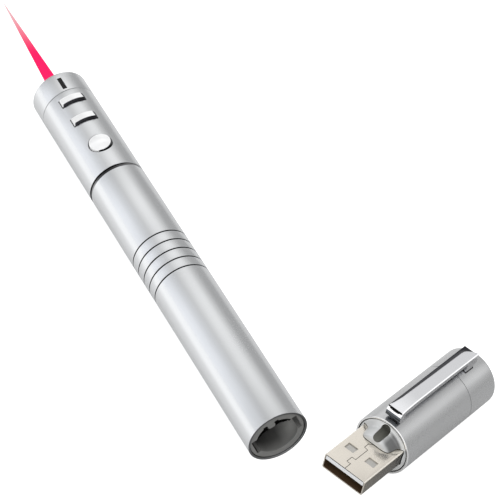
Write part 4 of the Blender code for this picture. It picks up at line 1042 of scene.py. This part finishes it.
shell = plugShell()
holeTools = [seamTool()]
for side in (-1, 1):
    outline = roundedBox(*plug["holeHalf"], 0.12, centre=(side * plug["holeSpread"], plug["holeAt"]))
    holeTools.append(solid("holeTool", drawn(outline, -3, 5, "Z"), receiverFrame))
carved(shell, holeTools, smoothAngle=25)
finished(shell, "receiver", "plug_steel", "plug_shell", "plugSteel", "paintedShadeSide", "mouthPaintedShade",
         "blackPlasticAndShade", "paintedHighlightBevel")
# Painted shade: the side towards -X is dark, and lighter towards the tip.
paintFaces(shell, lambda at, facing: (facing.x < -0.8) & (at.x < -5.9))
toned(shell, lambda at: lineAt(at.y, plug["sideShadeTones"]))
plugTop = plug["rise"] + plug["half"][1]
insideX, insideZ = (half - plug["wall"] + nearBy for half in plug["half"])
# Painted shade: the inside of the shell is dark brown.
paintFaces(shell, lambda at, facing: (
    (np.abs(at.x) < insideX) & (np.abs(at.z - plug["rise"]) < insideZ) & (at.y < plug["tip"] - 0.03)
), 2)
paintFaces(shell, lambda at, facing: (
    (at.z < plugTop - 0.01) & (at.z > plugTop - plug["seamDepth"] - nearBy) & (np.abs(at.x) < 1.3)
), 3)
# Painted highlight: the rounded top corners are lighter.
paintFaces(shell, lambda at, facing: (
    (facing.z > 0.2) & (np.abs(facing.x) > 0.2) & (facing.x < 0.8)
    & (at.z > plugTop - plug["corner"]) & (np.abs(at.x) > plug["half"][0] - plug["corner"])
), 4)
innerHalf = plug["half"][0] - plug["wall"] - 0.1
tongueOutline = roundedBox(innerHalf, (plug["tongue"][1] - plug["tongue"][0]) / 2, 0.12,
                           centre=(0, sum(plug["tongue"]) / 2))
tongue = solid("plugTongue", drawn(tongueOutline, plug["back"], plug["tongueEnd"]), receiverFrame)
finished(tongue, "receiver", "black_plastic", "plug_tongue", "tonguePaintedShade", "greyLeaf", "tonguePaintedLight")
# The tongue's top is grey. Its dark brown body is painted shade and its pale front face painted light.
paintFaces(tongue, lambda at, facing: facing.z > 0.5)
paintFaces(tongue, lambda at, facing: facing.y > 0.5, 2)
for number, middle in enumerate(plug["terminals"], 1):
    centre = (middle, plug["terminalAt"])
    halfX, halfY = plug["terminalHalf"]
    strip = roundedBox(halfX, halfY, 0.15, centre=centre)
    contact = roundedBox(halfX - plug["terminalBevel"], halfY - plug["terminalBevel"], 0.1, centre=centre)
    rings = raised([strip, strip, contact], plug["terminalLevels"])
    finished(solid(f"plugTerminal{number}", rings, receiverFrame),
             "receiver", "gold_plate", f"plug_terminal_{number}", "gold")
print("plug made")


# The pocket clip

clip = {
    "top": 11.25,
    "under": 9.95,
    "tip": -1.2,
    "tail": -32.55,
    "tailLow": 8.25,
    "crest": (-1.62, 11.25),
    "brow": (-1.44, 10.42),
    "edge": (-1.2, 9.98),
    "tailRound": 0.25,
    "pinAt": (-29.75, 5.2),
    "footHalf": 1.35,
    "bead": (-2.2, 9.15),
    "beadRadius": 1.0,
    "eye": 0.6,
    "widths": [(-33, 2.1), (-28, 2.05), (-18, 1.95), (-7, 1.92), (-4, 2.0), (-2.0, 2.12), (-1.2, 2.15)],
    "bend": [(-32.55, -1.65), (-32.0, -0.75), (-31.0, 0.45), (-30.3, 0.8), (-29.5, 0.94), (-26, 1.0),
             (-18, 1.12), (-10, 1.28), (-6, 1.36), (-4, 1.56), (-3, 1.7), (-2.0, 1.98), (-1.2, 2.1)],
    "bendDrop": 0.4,
    "bendDeepest": 0.35,
    "rightHalf": 2.1,
    "leftEdge": 0.26,
    "leftSlope": 0.7,
    "lip": (0.28, 1.32),
    "neck": 0.35,
    "throat": (0.9, 0.3),
    "topPaintedLight": [(-9, 1.0), (-3, 1.28)],
}


def clipPiece():
    # The clip's side outline, repeated from one edge to the other. Each point (y, z) of the outline sits at x
    # between the left edge -halfWidth(y), the bend line x = bend(y) and the right edge halfWidth(y). Beyond
    # the bend line the upper side drops in proportion to x - bend(y), down to the deepest drop, and the left
    # edge has a straight bevel.
    pinY, pinZ = clip["pinAt"]
    beadY, beadZ = clip["bead"]
    half, bead = clip["footHalf"], clip["beadRadius"]
    brow, edge = clip["brow"], clip["edge"]
    lipIn, lipDown = clip["lip"]
    throatRun, throatRise = clip["throat"]
    share = np.linspace(0, 1, 7)[1:-1]
    upper = [(*spot, 0) for spot in np.outer(1 - share, clip["crest"]) + np.outer(share, brow)]
    lower = [(*spot, 0) for spot in np.outer(1 - share, brow) + np.outer(share, edge)]
    side = softened([(*clip["crest"], 0.12)] + upper + [(*brow, 0.06)] + lower + [
        (*edge, 0.04),
        (clip["tip"] - lipIn, clip["top"] - lipDown, 0.08), (beadY + bead, beadZ + clip["neck"], 0.25),
        (beadY + bead, beadZ - bead, bead), (beadY - bead, beadZ - bead, bead),
        (beadY - bead, clip["under"] - throatRise, 0.35), (beadY - bead - throatRun, clip["under"], 0.4),
        (pinY + half, clip["under"], 0.3), (pinY + half, pinZ - half, half),
        (pinY - half, pinZ - half, half), (pinY - half, clip["tailLow"], 0.15),
        (clip["tail"], clip["tailLow"], 0.15), (clip["tail"], clip["top"], clip["tailRound"]),
    ], steps=9)
    # Extra points along the top so that the width and the bend line can change
    spots = np.concatenate([np.linspace(clip["tail"] + 0.35, -29.2, 18),
                            np.linspace(-28.6, clip["crest"][0] - 0.15, 44)])
    side = np.concatenate([side, np.column_stack([spots, np.full(len(spots), clip["top"])])])
    along, level = side[:, 0], side[:, 1]
    halfWidth = lineAt(along, clip["widths"])
    bend = lineAt(along, clip["bend"])
    left = np.concatenate([[0, 0.35, 0.7, 1], np.linspace(1.5, 10, 8)])[:, None]
    right = np.linspace(0, 1, 10)[1:, None]
    rightHalf = np.maximum(halfWidth, clip["rightHalf"])
    across = np.concatenate([
        np.where(left <= 1, -halfWidth + left * clip["leftEdge"],
                 (bend + halfWidth - clip["leftEdge"]) * (left - 1) / 9 - halfWidth + clip["leftEdge"]),
        bend + (rightHalf - bend) * right,
    ])
    lift = np.clip((level - clip["under"]) / (clip["top"] - clip["under"]), 0, 1)
    beyond = np.clip((across - bend) * clip["bendDrop"], 0, clip["bendDeepest"])
    bevel = np.clip(clip["leftEdge"] - halfWidth - across, 0, None) * clip["leftSlope"]
    drop = lift * (beyond + bevel)
    rings = np.stack([across, np.broadcast_to(along, across.shape), level - drop], axis=2)
    return solid("pocketClip", rings, receiverFrame, smoothAngle=28)


pocketClip = clipPiece()
eyeTool = solid("eyeTool", drawn(circle(clip["eye"], 40, clip["pinAt"]), -4, 4, "X"), receiverFrame)
carved(pocketClip, [eyeTool], smoothAngle=28)
finished(pocketClip, "pocket_clip", "chrome", "clip", "clipChrome", "paintedShadeChrome", "clipSidePaintedShade",
         "chrome", "beadPaintedShade", "paintedShadeBlack")
# Painted reflection: the top beyond the bend line is dark.
paintFaces(pocketClip, lambda at, facing: (
    (at.z > clip["under"] + 0.05) & (facing.z > 0.3)
    & (at.x > lineAt(at.y, clip["bend"]) + 0.01)
))
# Painted light: the top grows lighter towards the tip.
toned(pocketClip, lambda at: lineAt(at.y, clip["topPaintedLight"]))
# Painted reflection: the tip is dark above an arc and bright below it
paintFaces(pocketClip, lambda at, facing: (
    (at.y > clip["crest"][0] - 0.1) & (at.z > clip["edge"][1]) & (facing.y > 0.15)
), 3)
paintFaces(pocketClip, lambda at, facing: (
    (at.y > clip["crest"][0] - 0.1) & (facing.y > 0.15)
    & (at.z > clip["brow"][1] + 0.5 * (at.x / 2) ** 2)
), 5)
# Painted highlight: the left bevel is bright chrome.
paintFaces(pocketClip, lambda at, facing: (
    (facing.x < -0.15) & (facing.z > 0.5) & (at.z > 10.9)
), 3)
# Painted shade: the side towards -X and the foot are duller.
paintFaces(pocketClip, lambda at, facing: (
    (facing.x < -0.9) & ((at.z > clip["under"] - 0.4) | (at.y < -27))
), 2)
# Painted shade: the bead under the tip is dark.
paintFaces(pocketClip, lambda at, facing: (at.z < 9.85) & (at.y > -3.8), 4)
print("clip made")


# Finishes of the pieces that stay as they are

# Each finish with its slot and the pieces that have it.
innerFinishes = {
    "blackPlasticAndShade": ("black_plastic", ["battery_sleeve"]),
    "cellJacket": ("battery_jacket", ["battery"]),
    "nickel": ("nickel", [
        "negative_contact", "battery_spring", "positive_contact", "laser_switch", "page_back_switch",
        "page_forward_switch", "radio_crystal", "receiver_crystal", "clip_pin", "clip_bracket",
        "clip_leaf_spring",
    ]),
    "brass": ("brass", ["thread_insert", "laser_housing"]),
    "gold": ("gold_plate", ["laser_diode"]),
    "lensGlass": ("lens_glass", ["aperture_window", "laser_lens"]),
    "whitePlastic": ("white_plastic", ["front_chassis"]),
    "boardGreen": ("circuit_board", ["circuit_board", "receiver_board"]),
    "chipBlack": ("black_plastic", ["radio_chip", "receiver_chip"]),
    "indicatorRed": ("indicator_red", ["indicator_led"]),
}
for finishName, (slotName, nodeNames) in innerFinishes.items():
    for nodeName in nodeNames:
        node = frame["nodes"][nodeName]
        node.data.materials.clear()
        node.data.materials.append(materials[finishName])


# Floor, light and camera

stage = {
    "floorHalf": 3.0,
    "floorWhite": 0.6,
    "floorLift": 0.8,
    "backdrop": 1.0,
    "glows": [
        {"way": (-1, 0), "from": 34.0, "to": 42.0, "add": 0.20},
        {"way": (-1, 0), "from": 42.0, "to": 60.0, "add": 0.42},
        {"way": (-1, 0), "from": -5.0, "to": 12.0, "add": 0.027},
        {"way": (0.391, -0.921), "from": 60.6, "to": 74.6, "add": 0.029},
        {"way": (-0.391, 0.921), "from": -56.6, "to": -42.6, "add": 0.267},
    ],
}

# The laser's light on the floor, as a streak along Y that narrows from its start to its end. In mm from the
# tail: where it starts and ends, how far ahead of its start it already shows, its middle and how far that
# drifts. It has one colour near the laser and fades to another.
streak = {
    "from": 139.6,
    "to": 183.6,
    "ahead": 6.0,
    "middle": 4.7,
    "drift": 0.7,
    "half": 2.15,
    "fadeFrom": 0.4,
    "near": (1.0, 0.021, 0.145),
    "far": (0.85, 0.60, 0.62),
}


def streakNodes(add, place):
    # How much of the streak is at a place, and its colour there. The half width falls in a straight line to
    # zero, and the streak is where |x - middle| is less than it.
    spots = add("ShaderNodeSeparateXYZ", {0: place}).outputs
    share = rangeNode(add, spots["Y"], (tail[1] + streak["from"]) * mm, (tail[1] + streak["to"]) * mm)
    middle = mathNode(add, "MULTIPLY_ADD", share, streak["drift"] * mm, (tail[0] + streak["middle"]) * mm)
    apart = mathNode(add, "ABSOLUTE", mathNode(add, "SUBTRACT", spots["X"], middle))
    half = mathNode(add, "MULTIPLY_ADD", share, -streak["half"] * mm, streak["half"] * mm)
    inside = mathNode(add, "LESS_THAN", apart, half)
    started = mathNode(add, "GREATER_THAN", spots["Y"], (tail[1] + streak["from"] - streak["ahead"]) * mm)
    fade = rangeNode(add, share, streak["fadeFrom"], 1.0, kind="SMOOTHSTEP")
    colour = add("ShaderNodeMix", {"Factor": fade, "A": (*streak["near"], 1.0), "B": (*streak["far"], 1.0)},
                 data_type="RGBA")
    return mathNode(add, "MULTIPLY", inside, started), colour.outputs["Result"]


def floorMaterial():
    # A white floor with the laser's streak on it. The camera sees it lighter than the light alone would make
    # it, and shiny things see a glow in it. Each glow fades in along its way over the floor, from one place
    # in mm to the other.
    tree, add, shader, output = newMaterial("whiteFloor")
    shader.inputs["Base Color"].default_value = (*[stage["floorWhite"]] * 3, 1.0)
    shader.inputs["Roughness"].default_value = 0.9
    shader.inputs["Specular IOR Level"].default_value = 0.0
    path = add("ShaderNodeLightPath").outputs
    place = add("ShaderNodeTexCoord").outputs["Object"]
    seen = mathNode(add, "MAXIMUM", path["Is Camera Ray"], path["Is Transmission Ray"])
    total = mathNode(add, "MULTIPLY", seen, stage["floorLift"])
    for glow in stage["glows"]:
        spot = add("ShaderNodeVectorMath", {0: place, 1: (*glow["way"], 0)}, operation="DOT_PRODUCT")
        fade = rangeNode(add, spot.outputs["Value"], glow["from"] * mm, glow["to"] * mm, high=glow["add"],
                         kind="SMOOTHSTEP")
        total = mathNode(add, "MULTIPLY_ADD", fade, path["Is Glossy Ray"], total)
    light = add("ShaderNodeEmission", {"Color": (1, 1, 1, 1), "Strength": total})
    both = add("ShaderNodeAddShader", {0: shader.outputs[0], 1: light.outputs[0]})
    within, colour = streakNodes(add, place)
    beam = add("ShaderNodeEmission", {"Color": colour, "Strength": 1.0})
    lit = mathNode(add, "MULTIPLY", within, path["Is Camera Ray"])
    shown = add("ShaderNodeMixShader", {0: lit, 1: both.outputs[0], 2: beam.outputs[0]})
    tree.links.new(shown.outputs[0], output.inputs["Surface"])
    return materials["whiteFloor"]


floorMesh = bpy.data.meshes.new("floor")
reach = stage["floorHalf"]
floorMesh.from_pydata([(-reach, -reach, 0), (reach, -reach, 0), (reach, reach, 0), (-reach, reach, 0)], [],
                      [(0, 1, 2, 3)])
floor = bpy.data.objects.new("floor", floorMesh)
bpy.context.scene.collection.objects.link(floor)
floorMesh.materials.append(floorMaterial())

# The soft lights of the studio, over an even level. Each fades between two angles from its middle, in
# degrees. The overhead row stands on a cone round the Y axis, one light each step, and the first of them
# are cool. The others are given by the direction that they come from, and the widest is the front fill.
studio = {
    "level": 0.557,
    "inner": 2,
    "outer": 19,
    "rowRise": 0.61,
    "rowFrom": -95,
    "rowStep": 15,
    "rowLevels": [0.31, 0.52, 0.26, 0.38, 0.06, 0.27, 0.31, 0.43, 0.26],
    "coolCount": 5,
    "cool": (0.97, 1.0, 1.07),
    "others": [
        {"from": (0.33, 0.90, 0.29), "level": 0.58},
        {"from": (0.42, 0.70, 0.58), "level": 0.09},
        {"from": (0.57, 0.35, 0.75), "level": 0.13},
        {"from": (0.69, 0.06, 0.72), "level": 0.04},
        {"from": (0.78, -0.15, 0.61), "level": 0.47},
        {"from": (0.85, -0.32, 0.42), "level": 0.17},
        {"from": (-0.98, 0.02, 0.05), "level": 0.7},
        {"from": (-0.30, -0.60, 0.74), "level": 1.0, "outer": 58},
    ],
}


def studioLights():
    # Each light as its direction, its colour and its outer angle. Light i of the overhead row is at the angle
    # t = from + step i: (r sin t, rise, r cos t), where r^2 = 1 - rise^2.
    lights = []
    radius = math.sqrt(1 - studio["rowRise"] ** 2)
    for number, level in enumerate(studio["rowLevels"]):
        t = math.radians(studio["rowFrom"] + studio["rowStep"] * number)
        tint = studio["cool"] if number < studio["coolCount"] else (1.0, 1.0, 1.0)
        way = (radius * math.sin(t), studio["rowRise"], radius * math.cos(t))
        lights.append((way, [level * share for share in tint], studio["outer"]))
    for light in studio["others"]:
        way = np.array(light["from"]) / np.linalg.norm(light["from"])
        lights.append((way.tolist(), [light["level"]] * 3, light.get("outer", studio["outer"])))
    return lights


def studioWorld():
    # The sum of the lights: each fades smoothly from its inner to its outer angle. The camera sees white.
    world = bpy.data.worlds.new("studio")
    world.use_nodes = True
    tree = world.node_tree
    tree.nodes.clear()
    add = nodeAdder(tree)
    direction = add("ShaderNodeTexCoord").outputs["Generated"]
    inner = math.cos(math.radians(studio["inner"]))
    total = add("ShaderNodeRGB").outputs[0]
    total.default_value = (*[studio["level"]] * 3, 1.0)
    for way, colour, outer in studioLights():
        dot = add("ShaderNodeVectorMath", {0: direction, 1: way}, operation="DOT_PRODUCT").outputs["Value"]
        fade = rangeNode(add, dot, math.cos(math.radians(outer)), inner, kind="SMOOTHSTEP")
        share = add("ShaderNodeVectorMath", {0: colour, "Scale": fade}, operation="SCALE")
        total = add("ShaderNodeVectorMath", {0: total, 1: share.outputs[0]}, operation="ADD").outputs[0]
    seen = add("ShaderNodeLightPath").outputs["Is Camera Ray"]
    shown = add("ShaderNodeMix", {"Factor": seen, "A": total, "B": (*[stage["backdrop"]] * 3, 1.0)},
                data_type="RGBA")
    background = add("ShaderNodeBackground", {"Color": shown.outputs["Result"], "Strength": 1.0})
    add("ShaderNodeOutputWorld", {"Surface": background.outputs[0]})
    return world


bpy.context.scene.world = studioWorld()

# The camera stands this far from the tail, in mm, and is turned by these angles round X, Y and Z, in degrees.
shot = {
    "lens": 170.73,
    "sensor": 36,
    "fromTail": (-241.2, -310.38, 404.94),
    "turn": (48.126, -9.968, -26.633),
    "clip": (0.01, 20),
}
cameraData = bpy.data.cameras.new("camera")
cameraData.sensor_width = shot["sensor"]
cameraData.lens = shot["lens"]
cameraData.clip_start, cameraData.clip_end = shot["clip"]
camera = bpy.data.objects.new("camera", cameraData)
bpy.context.scene.collection.objects.link(camera)
turn = Euler([math.radians(angle) for angle in shot["turn"]]).to_matrix().to_4x4()
spot = (tail * [1, 1, 0] + np.array(shot["fromTail"])) * mm
camera.matrix_world = Matrix.Translation(spot.tolist()) @ turn
bpy.context.scene.camera = camera
bpy.context.scene.view_settings.view_transform = "Standard"
print("stage made")
